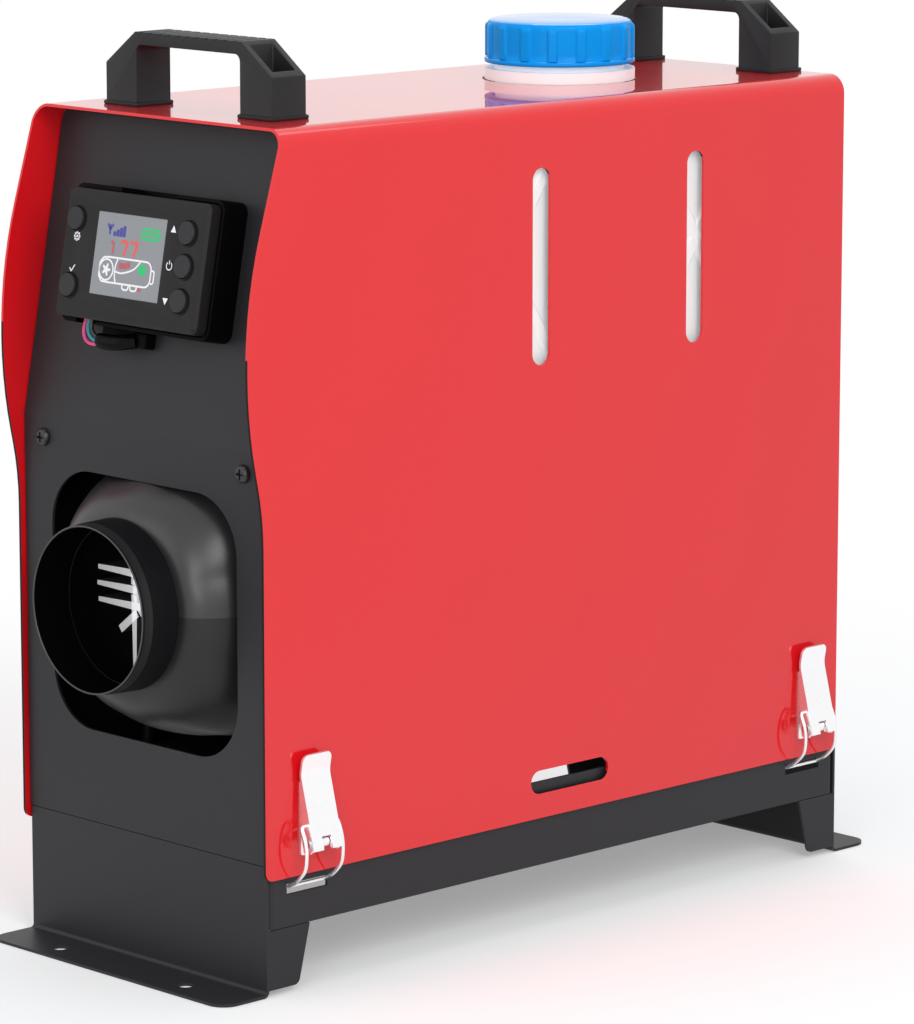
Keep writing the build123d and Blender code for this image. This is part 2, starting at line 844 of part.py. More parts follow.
def build_lever(side, middle):
    """Latch lever: a bowed face with a finger lip and two side flanges."""
    wall = side * half_cover
    tip = (wall + side * lever_tip_out, lever_tip_z)
    waist = (wall + side * lever_waist_out, lever_waist_z)
    heel = (wall + side * lever_heel_out, lever_heel_z)
    flange_points = [
        (wall + side * (lever_waist_out + 0.3 * lever_sheet), lever_waist_z - lever_sheet),
        (wall + side * (lever_heel_out - lever_sheet / 4), lever_heel_z + lever_sheet),
        (wall + side * (pivot_out + 1.2 * pivot_radius), pivot_z - 3 * pivot_radius),
        (wall + side * (pivot_out - 1.8 * pivot_radius), pivot_z - 3 * pivot_radius),
        (wall + side * (bail_out - 3.2 * bail_wire), bail_z - 2 * bail_wire),
        (wall + side * (lever_waist_out - lever_sheet / 2), lever_waist_z - 4 * lever_sheet),
    ]
    with BuildPart() as lever:
        with BuildSketch(across(middle)):
            with BuildLine():
                FilletPolyline(tip, waist, heel, radius=lever_corner * 4)
            trace(line_width=lever_sheet)
        extrude(amount=lever_width / 2, both=True)
        with BuildSketch(along(wall)) as corners:
            with Locations((middle, (lever_tip_z + lever_notch_top) / 2)):
                Rectangle(lever_width, lever_tip_z - lever_notch_top + 2 * lever_sheet)
            fillet(corners.vertices().group_by(Axis.Y)[-1], lever_corner)
            with Locations((middle, (lever_heel_z + lever_notch_top) / 2)):
                Rectangle(lever_width, lever_notch_top - lever_heel_z + 2 * lever_sheet)
            with Locations((middle, lever_heel_z)):
                Rectangle(
                    lever_notch_width, 2 * (lever_notch_top - lever_heel_z), mode=Mode.SUBTRACT
                )
        extrude(amount=side * 2 * lever_heel_out, mode=Mode.INTERSECT)
        for edge in (-lever_width / 2, lever_width / 2 - lever_sheet):
            with BuildSketch(across(middle + edge)):
                with BuildLine():
                    Polyline(*flange_points, close=True)
                make_face()
                with Locations((wall + side * pivot_out, pivot_z)):
                    Circle(pivot_radius + pin_play, mode=Mode.SUBTRACT)
                with Locations((wall + side * bail_out, bail_z)):
                    Circle(bail_wire + pin_play, mode=Mode.SUBTRACT)
            extrude(amount=-lever_sheet)
    return lever


def build_bail(side, middle):
    """Wire bail: both ends hook into the lever, the legs bow out, the bar hooks under."""
    wall = side * half_cover
    hook_x = side * (half_base - sheet / 2)
    inner = lever_width / 2 - lever_sheet + pin_play
    half = [
        (wall + side * bail_out, inner, bail_z),
        (wall + side * bail_out, bail_half_width, bail_z),
        (wall + side * bail_bow_out, bail_half_width, bail_bow_z),
        (wall + side * bail_turn_out, bail_half_width, bail_turn_z),
        (hook_x, bail_half_width, bail_hook_z),
    ]
    route = [(x, middle + y, z) for x, y, z in half]
    route += [(x, middle - y, z) for x, y, z in reversed(half)]
    radii = [bail_bend, bail_bow_radius, bail_turn_radius, bail_bend]
    with BuildPart() as bail:
        with BuildLine() as wire:
            FilletPolyline(*route, radius=radii + radii[::-1])
        with BuildSketch(Plane(origin=route[0], x_dir=(1, 0, 0), z_dir=(0, 1, 0))):
            Circle(bail_wire)
        sweep()
    return bail


latch_places = [
    (side, middle, place)
    for side, hand in ((1, "right"), (-1, "left"))
    for middle, place in zip(latch_middles, ("front_" + hand, "rear_" + hand))
]
for side, middle, place in latch_places:
    finish(build_lever(side, middle), "latch_lever_" + place)
    finish(build_bail(side, middle), "latch_bail_" + place)

# The four latch plates on the cover, each with one knuckle for its pivot pin.
plate_spots = [(middle, (keeper_bottom + keeper_top) / 2) for middle in latch_middles]
with BuildPart() as latch_plates:
    for side in (-1, 1):
        wall = side * half_cover
        with BuildSketch(along(wall)):
            with Locations(*plate_spots):
                RectangleRounded(keeper_width, keeper_top - keeper_bottom, keeper_sheet)
        extrude(amount=side * keeper_sheet)
        for middle in latch_middles:
            with BuildSketch(across(middle)):
                with BuildLine():
                    Polyline(
                        (wall, pivot_z - knuckle_radius),
                        (wall + side * pivot_out, pivot_z - knuckle_radius),
                        (wall + side * pivot_out, pivot_z + knuckle_radius),
                        (wall, pivot_z + 2 * knuckle_radius),
                        close=True,
                    )
                make_face()
                with Locations((wall + side * pivot_out, pivot_z)):
                    Circle(knuckle_radius)
            extrude(amount=knuckle_width / 2, both=True)
            with BuildSketch(across(middle)):
                with Locations((wall + side * pivot_out, pivot_z)):
                    Circle(pivot_radius + pin_play)
            extrude(amount=knuckle_width, both=True, mode=Mode.SUBTRACT)
    with BuildSketch(along(-cover_width)):
        with Locations(*[(middle, z) for middle in latch_middles for z in latch_rivet_z]):
            Circle(latch_rivet_radius + screw_clearance)
    extrude(amount=2 * cover_width, mode=Mode.SUBTRACT)
finish(latch_plates, "latch_plates")

with BuildPart() as latch_pins:
    inner_half = lever_width / 2 + latch_play
    for side, middle, place in latch_places:
        pin_spot = (side * (half_cover + pivot_out), pivot_z)
        with BuildSketch(across(middle)):
            with Locations(pin_spot):
                Circle(pivot_radius)
        extrude(amount=inner_half + pivot_head, both=True)
        for end in (-1, 1):
            with BuildSketch(across(middle + end * inner_half)):
                with Locations(pin_spot):
                    Circle(pivot_head_radius)
            extrude(amount=-end * pivot_head)
    for side, middle, place in latch_places:
        outside = side * (half_cover + keeper_sheet)
        inside = side * (half_cover - cover_sheet)
        spots = [(middle, z) for z in latch_rivet_z]
        with BuildSketch(along(inside)):
            with Locations(*spots):
                Circle(latch_rivet_radius)
        extrude(amount=outside - inside)
        with BuildSketch(along(outside)):
            with Locations(*spots):
                Circle(latch_rivet_head)
        extrude(amount=side * latch_rivet_head_height, taper=30)
        with BuildSketch(along(inside)):
            with Locations(*spots):
                Circle(latch_rivet_head)
        extrude(amount=-side * latch_rivet_head_height, taper=30)
finish(latch_pins, "latch_pins")

# ================================================================ fuel tank


def tank_block(bottom, top, inset):
    """The tank's outside, or its cavity when it is drawn in by the wall."""
    with BuildPart(mode=Mode.PRIVATE) as block:
        with BuildSketch(level(bottom)):
            with Locations((0, tank_middle_y)):
                RectangleRounded(
                    2 * (tank_half_width - inset), tank_length - 2 * inset, tank_corner - inset
                )
        extrude(amount=top - bottom)
        rims = block.faces().filter_by(Axis.Z).edges()
        fillet(rims, tank_edge - inset)
    return block.part


with BuildPart() as fuel_tank:
    add(tank_block(tray_top, tank_top, 0.0))
    tank_middle_z = (tray_top + tank_top) / 2
    cross_height = tank_top - tray_top - 3 * tank_edge
    cross_bays = 3
    bay = (tank_length - 2 * tank_corner) / cross_bays
    cross_angle = degrees(atan2(cross_height, bay))
    cross_length = cross_height / sin(radians(cross_angle)) - tank_rib_width
    for wall, outward in ((-tank_half_width, -1), (tank_half_width, 1)):
        with BuildSketch(along(wall)):
            with Locations((tank_middle_y, tank_middle_z)):
                with GridLocations(bay, 0, cross_bays, 1):
                    Rectangle(cross_length, tank_rib_width, rotation=cross_angle)
                    Rectangle(cross_length, tank_rib_width, rotation=-cross_angle)
        extrude(amount=outward * tank_rib)
    with BuildSketch(level(tank_top - tank_wall)):
        with Locations((0, filler_y)):
            Circle(neck_radius)
    extrude(amount=neck_top - tank_top + tank_wall)
    with BuildSketch(level(neck_ring_bottom)):
        with Locations((0, filler_y)):
            Circle(neck_ring_radius)
    extrude(amount=neck_ring_height)
    with BuildSketch(level(tray_top - nipple_length)):
        with Locations((outlet_x, outlet_y)):
            Circle(nipple_radius)
    extrude(amount=nipple_length + tank_wall)
    add(tank_block(tray_top + tank_wall, tank_top - tank_wall, tank_wall), mode=Mode.SUBTRACT)
    with BuildSketch(level(tank_top - 2 * tank_wall)):
        with Locations((0, filler_y)):
            Circle(neck_bore)
    extrude(amount=neck_top - tank_top + 3 * tank_wall, mode=Mode.SUBTRACT)
    with BuildSketch(level(tray_top - nipple_length)):
        with Locations((outlet_x, outlet_y)):
            Circle(nipple_bore)
    extrude(amount=nipple_length + 2 * tank_wall, mode=Mode.SUBTRACT)
finish(fuel_tank, "fuel_tank")

cap_top = cap_bottom + cap_height
cap_bore = cap_radius - cap_wall
with BuildPart() as fuel_cap:
    with BuildSketch(level(cap_bottom)):
        with Locations((0, filler_y)):
            Circle(cap_radius)
    extrude(amount=cap_height)
    fillet(fuel_cap.faces().sort_by(Axis.Z)[-1].edges(), cap_rib)
    rib_ring = cap_radius + cap_rib / 2 - cap_wall / 4
    with BuildSketch(level(cap_bottom + cap_lip_height)):
        with Locations((0, filler_y)):
            with PolarLocations(rib_ring, cap_rib_count):
                Rectangle(cap_rib + cap_wall / 2, cap_rib_width)
    extrude(amount=cap_height - cap_lip_height - 2 * cap_rib)
    with BuildSketch(level(cap_bottom)):
        with Locations((0, filler_y)):
            Circle(cap_radius + cap_lip)
    extrude(amount=cap_lip_height)
    with BuildSketch(level(cap_bottom)):
        with Locations((0, filler_y)):
            Circle(cap_bore)
    extrude(amount=cap_height - cap_roof, mode=Mode.SUBTRACT)
finish(fuel_cap, "fuel_cap")

with BuildPart() as cap_liner:
    with BuildSketch(level(neck_top)):
        with Locations((0, filler_y)):
            Circle(neck_radius)
            Circle(neck_bore - cap_wall, mode=Mode.SUBTRACT)
    extrude(amount=cap_top - cap_roof - neck_top - pin_play)
finish(cap_liner, "cap_liner")

# ================================================================ heater casing


def casing_outline(inset):
    """Rounded-square section of the heater casing, about its axis."""
    with BuildSketch() as section:
        RectangleRounded(
            shell_width - 2 * inset, shell_height - 2 * inset, shell_corner - inset
        )
    return section.sketch


def round_outline(radius):
    """Round section drawn as a rounded square, so that a loft keeps its eight sides."""
    with BuildSketch() as section:
        RectangleRounded(2 * radius, 2 * radius, radius - flat_gap)
    return section.sketch


def casing_body(inset, reach):
    """Casing with its tapered outlet end, solid."""
    with BuildPart(mode=Mode.PRIVATE) as body:
        with BuildSketch(across(dome_front - reach, axis_z)):
            add(round_outline(spigot_collar_radius - inset))
        with BuildSketch(across(shell_front, axis_z)):
            add(casing_outline(inset))
        loft(ruled=True)
        with BuildSketch(across(shell_front, axis_z)):
            add(casing_outline(inset))
        extrude(amount=-(shell_length + reach))
    return body.part


def cowl_body(inset, reach):
    """Tapered cowl behind the casing with a short round end, solid."""
    with BuildPart(mode=Mode.PRIVATE) as body:
        with BuildSketch(across(shell_rear - reach, axis_z)):
            add(casing_outline(inset))
        with BuildSketch(across(cowl_rear, axis_z)):
            add(round_outline(cowl_radius - inset))
        loft(ruled=True)
        with BuildSketch(across(cowl_rear, axis_z)):
            Circle(cowl_radius - inset)
        extrude(amount=-(cowl_length + reach))
    return body.part


with BuildPart(mode=Mode.PRIVATE) as casing:
    add(casing_body(0.0, 0.0))
    add(casing_body(shell_wall, fit_gap), mode=Mode.SUBTRACT)
    with BuildSketch(level(axis_z - shell_height / 2 - fit_gap)):
        with Locations((0, (foot_front + foot_rear) / 2)):
            Rectangle(
                2 * (foot_half_width + foot_window_gap), foot_length + 2 * foot_window_gap
            )
    extrude(amount=shell_height / 3, mode=Mode.SUBTRACT)

for name, low, high in (
    ("lower_casing", axis_z - shell_height, axis_z),
    ("upper_casing", axis_z, axis_z + shell_height),
):
    with BuildPart() as half_casing:
        add(casing.part)
        with BuildSketch(level(low)):
            Rectangle(2 * shell_width, 2 * base_length)
        extrude(amount=high - low, mode=Mode.INTERSECT)
    finish(half_casing, name)

# Hot-air spigot: a plain tube, thinned at its mouth, on a collar seated on the casing.
collar_front = dome_front - spigot_collar
spigot_front = front_face - spigot_reach
with BuildPart() as outlet_spigot:
    with BuildSketch(Plane(origin=(0, 0, axis_z), x_dir=(0, 1, 0), z_dir=(1, 0, 0))):
        with BuildLine():
            Polyline(
                (spigot_front, spigot_radius - spigot_wall),
                (spigot_front, spigot_radius - spigot_chamfer),
                (spigot_front + spigot_chamfer_length, spigot_radius),
                (collar_front, spigot_radius),
                (collar_front, spigot_collar_radius),
                (dome_front, spigot_collar_radius),
                (dome_front, spigot_radius - spigot_wall),
                close=True,
            )
        make_face()
    revolve(axis=duct_axis)
finish(outlet_spigot, "outlet_spigot")

# Cold-air end: a tapered cowl with a guard of rings and spokes across its mouth.
guard_front = cowl_rear + cowl_length - intake_guard_depth
ring_pitch = (cowl_radius - shell_wall - intake_hub) / (intake_ring_count + 1)
with BuildPart() as intake_cowl:
    add(cowl_body(0.0, 0.0))
    add(cowl_body(shell_wall, fit_gap), mode=Mode.SUBTRACT)
    for ring in range(intake_ring_count):
        ring_radius = intake_hub + ring_pitch * (ring + 1)
        with BuildSketch(across(guard_front, axis_z)):
            Circle(ring_radius + intake_ring_width / 2)
            Circle(ring_radius - intake_ring_width / 2, mode=Mode.SUBTRACT)
        extrude(amount=-intake_guard_depth)
    with BuildSketch(across(guard_front, axis_z)):
        Circle(intake_hub)
        with PolarLocations(0, intake_spoke_count // 2, angular_range=180):
            Rectangle(2 * cowl_radius - shell_wall, intake_spoke_width)
    extrude(amount=-intake_guard_depth)
finish(intake_cowl, "intake_cowl")

# ================================================================ heat exchanger
exchanger_rear_y = front_face + exchanger_rear
cup_front = exchanger_front_y + fin_nose_length / 2
with BuildPart() as heat_exchanger:
    with BuildSketch(across(exchanger_front_y, axis_z)):
        with PolarLocations((fin_root + fin_radius) / 2, fin_count):
            Rectangle(fin_radius - fin_root, fin_width)
    extrude(amount=-(exchanger_rear_y - flange_depth - exchanger_front_y))
    with BuildSketch(Plane(origin=(0, 0, axis_z), x_dir=(0, 1, 0), z_dir=(1, 0, 0))):
        with BuildLine():
            Polyline(
                (exchanger_front_y - fin_nose_length, fin_nose_radius),
                (exchanger_front_y, fin_nose_radius),
                (exchanger_front_y + fin_nose_length, fin_radius),
                (exchanger_front_y + fin_nose_length, 2 * fin_radius),
                (exchanger_front_y - fin_nose_length, 2 * fin_radius),
                close=True,
            )
        make_face()
    revolve(axis=duct_axis, mode=Mode.SUBTRACT)
    with BuildSketch(Plane(origin=(0, 0, axis_z), x_dir=(0, 1, 0), z_dir=(1, 0, 0))):
        with BuildLine():
            Polyline(
                (cup_front, 0),
                (cup_front, exchanger_radius - exchanger_dome),
                (cup_front + exchanger_dome, exchanger_radius),
                (exchanger_rear_y - flange_depth, exchanger_radius),
                (exchanger_rear_y - flange_depth, flange_radius),
                (exchanger_rear_y, flange_radius),
                (exchanger_rear_y, 0),
                close=True,
            )
        make_face()
    revolve(axis=duct_axis)
    with BuildSketch(across(exchanger_rear_y, axis_z)):
        Circle(exchanger_radius - exchanger_wall)
    cup_depth = exchanger_rear_y - cup_front - exchanger_dome
    extrude(amount=cup_depth, mode=Mode.SUBTRACT)
    plug_y = exchanger_rear_y - plug_inset
    with BuildSketch(level(axis_z + exchanger_radius - exchanger_wall)):
        with Locations((0, plug_y)):
            Circle(plug_radius + 2 * plug_hex / 3)
    extrude(amount=flange_radius - exchanger_radius - exchanger_wall)
    with BuildSketch(level(axis_z)):
        with Locations((0, plug_y)):
            Circle(plug_radius + screw_clearance)
    extrude(amount=flange_radius, mode=Mode.SUBTRACT)
finish(heat_exchanger, "heat_exchanger")

burner_flange_radius = exchanger_radius - exchanger_wall - burner_flange_gap
with BuildPart() as combustion_tube:
    with BuildSketch(across(exchanger_rear_y, axis_z)):
        Circle(burner_flange_radius)
    extrude(amount=burner_wall)
    with BuildSketch(across(exchanger_rear_y, axis_z)):
        Circle(burner_radius)
    extrude(amount=burner_length)
    with BuildSketch(across(exchanger_rear_y, axis_z)):
        Circle(burner_radius - burner_wall)
    extrude(amount=burner_length, mode=Mode.SUBTRACT)
    with BuildSketch(level(axis_z)):
        with Locations((0, plug_y)):
            Circle(plug_radius + screw_clearance)
    extrude(amount=flange_radius, mode=Mode.SUBTRACT)
finish(combustion_tube, "combustion_tube")

plug_seat = axis_z + flange_radius - 2 * exchanger_wall
with BuildPart() as glow_plug:
    with BuildSketch(level(axis_z + plug_tip)):
        with Locations((0, plug_y)):
            Circle(plug_radius)
    extrude(amount=plug_seat - axis_z - plug_tip)
    with BuildSketch(level(plug_seat)):
        with Locations((0, plug_y)):
            RegularPolygon(plug_hex, 6)
    extrude(amount=plug_hex_height)
finish(glow_plug, "glow_plug")

# ================================================================ blower
chamber_front = blower_front + blower_wall
chamber_rear = blower_rear - blower_wall
with BuildPart() as blower_housing:
    with BuildSketch(across(blower_front, axis_z)):
        Circle(blower_radius)
    extrude(amount=-blower_length)
    with BuildSketch(across(foot_front)) as foot_view:
        with BuildLine():
            Polyline(
                (-foot_half_width, foot_bottom),
                (foot_half_width, foot_bottom),
                (foot_half_width, axis_z - shell_height / 2 + shell_wall),
                (foot_neck_half_width, foot_block_top),
                (-foot_neck_half_width, foot_block_top),
                (-foot_half_width, axis_z - shell_height / 2 + shell_wall),
                close=True,
            )
        make_face()
    extrude(amount=-foot_length)
    with BuildSketch(across(chamber_front, axis_z)):
        Circle(blower_radius - blower_wall)
    extrude(amount=-(chamber_rear - chamber_front), mode=Mode.SUBTRACT)
    with BuildSketch(across(blower_front, axis_z)):
        Circle(blower_inlet_radius)
    extrude(amount=-blower_wall, mode=Mode.SUBTRACT)
    with BuildSketch(across(blower_rear, axis_z)):
        Circle(shaft_radius + screw_clearance)
    extrude(amount=blower_wall, mode=Mode.SUBTRACT)
    with BuildSketch(level(foot_bottom)):
        with Locations(exhaust_spot):
            Circle(exhaust_radius + pipe_shoulder + shaft_play)
        with Locations(combustion_intake_spot):
            Circle(combustion_intake_radius + pipe_shoulder + shaft_play)
    extrude(amount=pipe_seat, mode=Mode.SUBTRACT)
    with BuildSketch(level(foot_bottom)):
        with Locations(*stud_spots):
            Circle(stud_radius + shaft_play)
    extrude(amount=stud_depth, mode=Mode.SUBTRACT)
    fuel_nipple_length = foot_bottom - shelf_top + sheet + fuel_nipple_reach
    with BuildSketch(level(foot_bottom)):
        with Locations(fuel_spot):
            Circle(nipple_radius)
    extrude(amount=-fuel_nipple_length)
    with BuildSketch(level(foot_bottom + pipe_seat)):
        with Locations(fuel_spot):
            Circle(nipple_bore)
    extrude(amount=-(fuel_nipple_length + pipe_seat), mode=Mode.SUBTRACT)
finish(blower_housing, "blower_housing")

with BuildPart() as foot_gasket:
    with BuildSketch(level(shelf_top)):
        with Locations((0, (foot_front + foot_rear) / 2)):
            Rectangle(2 * foot_half_width, foot_length)
        with Locations(exhaust_spot):
            Circle(exhaust_radius + pipe_shoulder + pipe_gap, mode=Mode.SUBTRACT)
        with Locations(combustion_intake_spot):
            Circle(combustion_intake_radius + pipe_shoulder + pipe_gap, mode=Mode.SUBTRACT)
        with Locations(fuel_spot):
            Circle(nipple_radius + pipe_gap, mode=Mode.SUBTRACT)
        with Locations(*stud_spots):
            Circle(stud_radius + screw_clearance, mode=Mode.SUBTRACT)
    extrude(amount=gasket_thickness)
finish(foot_gasket, "foot_gasket")

pipe_length = foot_bottom + pipe_seat - pipe_bottom
shoulder_bottom = shelf_top - sheet - pipe_shoulder_drop
for name, spot, radius, wall in (
    ("exhaust_pipe", exhaust_spot, exhaust_radius, exhaust_wall),
    (
        "combustion_air_pipe",
        combustion_intake_spot,
        combustion_intake_radius,
        combustion_intake_wall,
    ),
):
    with BuildPart() as pipe:
        with BuildSketch(level(foot_bottom + pipe_seat)):
            with Locations(spot):
                Circle(radius)
        extrude(amount=-pipe_length)
        with BuildSketch(level(foot_bottom + pipe_seat)):
            with Locations(spot):
                Circle(radius + pipe_shoulder)
        extrude(amount=shoulder_bottom - foot_bottom - pipe_seat)
        with BuildSketch(level(foot_bottom + pipe_seat)):
            with Locations(spot):
                Circle(radius - wall)
        extrude(amount=-pipe_length, mode=Mode.SUBTRACT)
    finish(pipe, name)

with BuildPart() as heater_studs:
    with BuildSketch(level(foot_bottom + stud_depth)):
        with Locations(*stud_spots):
            Circle(stud_radius)
    extrude(amount=-(foot_bottom + stud_depth - shelf_top + sheet + stud_tail))
    with BuildSketch(level(shelf_top - sheet)):
        with Locations(*stud_spots):
            RegularPolygon(nut_width / 2, 6, major_radius=False)
            Circle(stud_radius + nut_gap, mode=Mode.SUBTRACT)
    extrude(amount=-nut_height)
finish(heater_studs, "heater_studs")

with BuildPart() as blower_motor:
    with BuildSketch(across(blower_rear, axis_z)):
        Circle(motor_radius)
        Circle(shaft_radius + shaft_play, mode=Mode.SUBTRACT)
    extrude(amount=-motor_length)
finish(blower_motor, "blower_motor")

with BuildPart() as control_unit:
    with BuildSketch(across(blower_rear)):
        with Locations((0, control_unit_z + control_unit_height / 2)):
            RectangleRounded(control_unit_width, control_unit_height, 2 * shell_wall)
    extrude(amount=-control_unit_length)
finish(control_unit, "control_unit")

# The rotor: one shaft through the motor, a fan for the burner's air ahead of it
# and the hot-air fan behind it.
burner_fan_y = chamber_front + burner_fan_gap
air_fan_y = motor_rear + air_fan_gap
with BuildPart() as rotor_shaft:
    with BuildSketch(across(burner_fan_y, axis_z)):
        Circle(shaft_radius)
    extrude(amount=-(air_fan_y + air_fan_length - burner_fan_y))
finish(rotor_shaft, "rotor_shaft")

with BuildPart() as burner_fan:
    with BuildSketch(across(burner_fan_y + burner_fan_blade_height, axis_z)):
        Circle(burner_fan_radius)
    extrude(amount=-burner_fan_plate)
    with BuildSketch(across(burner_fan_y, axis_z)):
        Circle(burner_fan_hub)
    extrude(amount=-(burner_fan_blade_height + burner_fan_plate))
    blade_length = burner_fan_radius - 2 * burner_fan_hub
    blade_middle = (burner_fan_radius + 2 * burner_fan_hub) / 2
    with BuildSketch(across(burner_fan_y, axis_z)):
        with PolarLocations(blade_middle, burner_fan_blades):
            Rectangle(blade_length, burner_fan_blade, rotation=25)
    extrude(amount=-burner_fan_blade_height)
    with BuildSketch(across(burner_fan_y, axis_z)):
        Circle(shaft_radius + shaft_play)
    extrude(amount=-(burner_fan_blade_height + burner_fan_plate), mode=Mode.SUBTRACT)
finish(burner_fan, "burner_fan")


def fan_blade(turn):
    """One twisted blade: a steep section at the hub, lofted to a flat one at the tip."""
    spoke = Vector(cos(turn), 0, sin(turn))
    middle = Vector(0, air_fan_y + air_fan_length / 2, axis_z)
    chord_direction = Vector(0, 1, 0)
    sections = []
    stations = (
        (air_fan_hub - air_fan_blade, air_fan_root_angle, air_fan_length - 3 * air_fan_blade),
        (air_fan_radius, air_fan_tip_angle, air_fan_length),
    )
    for radius, angle, chord in stations:
        plane = Plane(origin=middle + spoke * radius, x_dir=chord_direction, z_dir=spoke)
        with BuildSketch(plane) as section:
            Rectangle(chord * cos(radians(angle)), air_fan_blade, rotation=angle)
        sections.append(section.sketch)
    with BuildPart(mode=Mode.PRIVATE) as blade:
        loft(sections, ruled=True)
    return blade.part


with BuildPart() as air_fan:
    with BuildSketch(across(air_fan_y, axis_z)):
        Circle(air_fan_hub)
    extrude(amount=-air_fan_length)
    for blade_number in range(air_fan_blades):
        add(fan_blade(2 * pi * blade_number / air_fan_blades))
    with BuildSketch(across(air_fan_y, axis_z)):
        Circle(shaft_radius + shaft_play)
    extrude(amount=-air_fan_length, mode=Mode.SUBTRACT)
finish(air_fan, "air_fan")

# ================================================================ fuel line
filter_top = filter_z + filter_length / 2
filter_bottom = filter_z - filter_length / 2
with BuildPart() as fuel_filter:
    with BuildSketch(level(filter_bottom + filter_neck * 2)):
        with Locations((outlet_x, outlet_y)):
            Circle(filter_radius)
    extrude(amount=filter_length - 4 * filter_neck)
    with BuildSketch(level(filter_bottom)):
        with Locations((outlet_x, outlet_y)):
            Circle(filter_neck)
    extrude(amount=filter_length)
finish(fuel_filter, "fuel_filter")

nipple_bottom = tray_top - nipple_length
pump_front = front_face + pump_inset
pump_rear = pump_front + pump_length
pump_tail = pump_rear + pump_end_length
pump_nose = pump_front - pump_end_length
fuel_nipple_bottom = shelf_top - sheet - fuel_nipple_reach
hose_routes = [
    [
        (outlet_x, outlet_y, filter_bottom),
        (outlet_x, outlet_y, pump_z),
        (pump_x, pump_nose - hose_bend, pump_z),
        (pump_x, pump_nose, pump_z),
    ],
    [
        (pump_x, pump_tail, pump_z),
        (pump_x, pump_tail + hose_bend, pump_z),
        (fuel_spot[0], fuel_spot[1], pump_z),
        (fuel_spot[0], fuel_spot[1], fuel_nipple_bottom),
    ],
]
with BuildPart() as fuel_hoses:
    with BuildSketch(level(filter_top)):
        with Locations((outlet_x, outlet_y)):
            Circle(hose_radius)
            Circle(nipple_bore, mode=Mode.SUBTRACT)
    extrude(amount=nipple_bottom - filter_top)
    for route in hose_routes:
        with BuildLine() as run:
            FilletPolyline(*route, radius=hose_bend)
        with BuildSketch(Plane(origin=route[0], z_dir=Vector(*route[1]) - Vector(*route[0]))):
            Circle(hose_radius)
            Circle(nipple_bore, mode=Mode.SUBTRACT)
        sweep(path=run.line)
finish(fuel_hoses, "fuel_hoses")

with BuildPart() as fuel_pump:
    with BuildSketch(across(pump_front)):
        with Locations((pump_x, pump_z)):
            Circle(pump_radius)
    extrude(amount=-pump_length)
    with BuildSketch(across(pump_nose)):
        with Locations((pump_x, pump_z)):
            Circle(pump_end_radius)
    extrude(amount=-(pump_length + 2 * pump_end_length))
finish(fuel_pump, "fuel_pump")

sleeve_front = pump_front + (pump_length - sleeve_length) / 2
sleeve_radius = pump_radius + sleeve_wall
with BuildPart() as pump_sleeve:
    with BuildSketch(across(sleeve_front)):
        with Locations((pump_x, pump_z)):
            Circle(sleeve_radius)
            Circle(pump_radius, mode=Mode.SUBTRACT)
    extrude(amount=-sleeve_length)
finish(pump_sleeve, "pump_sleeve")

clamp_front = sleeve_front + (sleeve_length - clamp_width) / 2
pad_z = shelf_top - sheet - clamp_sheet / 2
with BuildPart() as pump_clamp:
    with BuildSketch(across(clamp_front)):
        with Locations((pump_x, pump_z)):
            Circle(sleeve_radius + clamp_sheet)
        with Locations((pump_x, (pump_z + pad_z) / 2)):
            Rectangle(2 * clamp_sheet, pad_z - pump_z)
        with Locations((pump_x, pad_z)):
            Rectangle(2 * clamp_tab, clamp_sheet)
        with Locations((pump_x, pump_z)):
            Circle(sleeve_radius, mode=Mode.SUBTRACT)
    extrude(amount=-clamp_width)
finish(pump_clamp, "pump_clamp")

# ================================================================ controller
# Everything here is drawn on planes parallel to the sloping front panel; the
# sketch's X is the case's X and its Y runs up the panel.
face_out = controller_depth
shell_out = controller_depth - front_shell_depth
half_width = controller_width / 2
half_height = controller_height / 2

with BuildPart() as controller_cradle:
    tray_width = controller_width + 2 * (cradle_gap + cradle_wall)
    tray_height = controller_height + 2 * (cradle_gap + cradle_wall)
    with BuildSketch(on_panel(0)):
        RectangleRounded(tray_width, tray_height, controller_corner + cradle_wall)
    extrude(amount=cradle_depth)
    with BuildSketch(on_panel(cradle_back)):
        RectangleRounded(
            tray_width - 2 * cradle_wall, tray_height - 2 * cradle_wall, controller_corner
        )
    extrude(amount=cradle_depth, mode=Mode.SUBTRACT)
    with BuildSketch(on_panel(cradle_back)):
        with Locations((0, tray_height / 2)):
            Rectangle(cradle_notch, 4 * cradle_wall)
        with Locations((lead_exit_x, -tray_height / 2)):
            Rectangle(lead_notch_width, 4 * cradle_wall)
    extrude(amount=cradle_depth, mode=Mode.SUBTRACT)
    fillet(
        controller_cradle.faces().sort_by(Axis(controller_spot, panel_normal))[-1].edges(),
        cradle_wall / 4,
    )
    with BuildSketch(on_panel(0)):
        with Locations((cradle_tab_x, -tray_height / 2)):
            RectangleRounded(cradle_tab_width, 2 * cradle_tab_drop, cradle_wall)
    extrude(amount=cradle_back)
finish(controller_cradle, "controller_cradle")

with BuildPart() as controller_back:
    with BuildSketch(on_panel(cradle_back)):
        RectangleRounded(controller_width, controller_height, controller_corner)
    extrude(amount=shell_out - cradle_back)
    with BuildSketch(on_panel(cradle_back + controller_wall)):
        RectangleRounded(
            controller_width - 2 * controller_side,
            controller_height - 2 * controller_side,
            controller_corner - controller_side,
        )
    extrude(amount=shell_out, mode=Mode.SUBTRACT)
    with BuildSketch(on_panel(shell_out)):
        with Locations((lead_exit_x, -half_height)):
            Rectangle(lead_notch_width, 4 * controller_side)
    extrude(amount=-lead_notch_depth / 2, mode=Mode.SUBTRACT)
finish(controller_back, "controller_back")

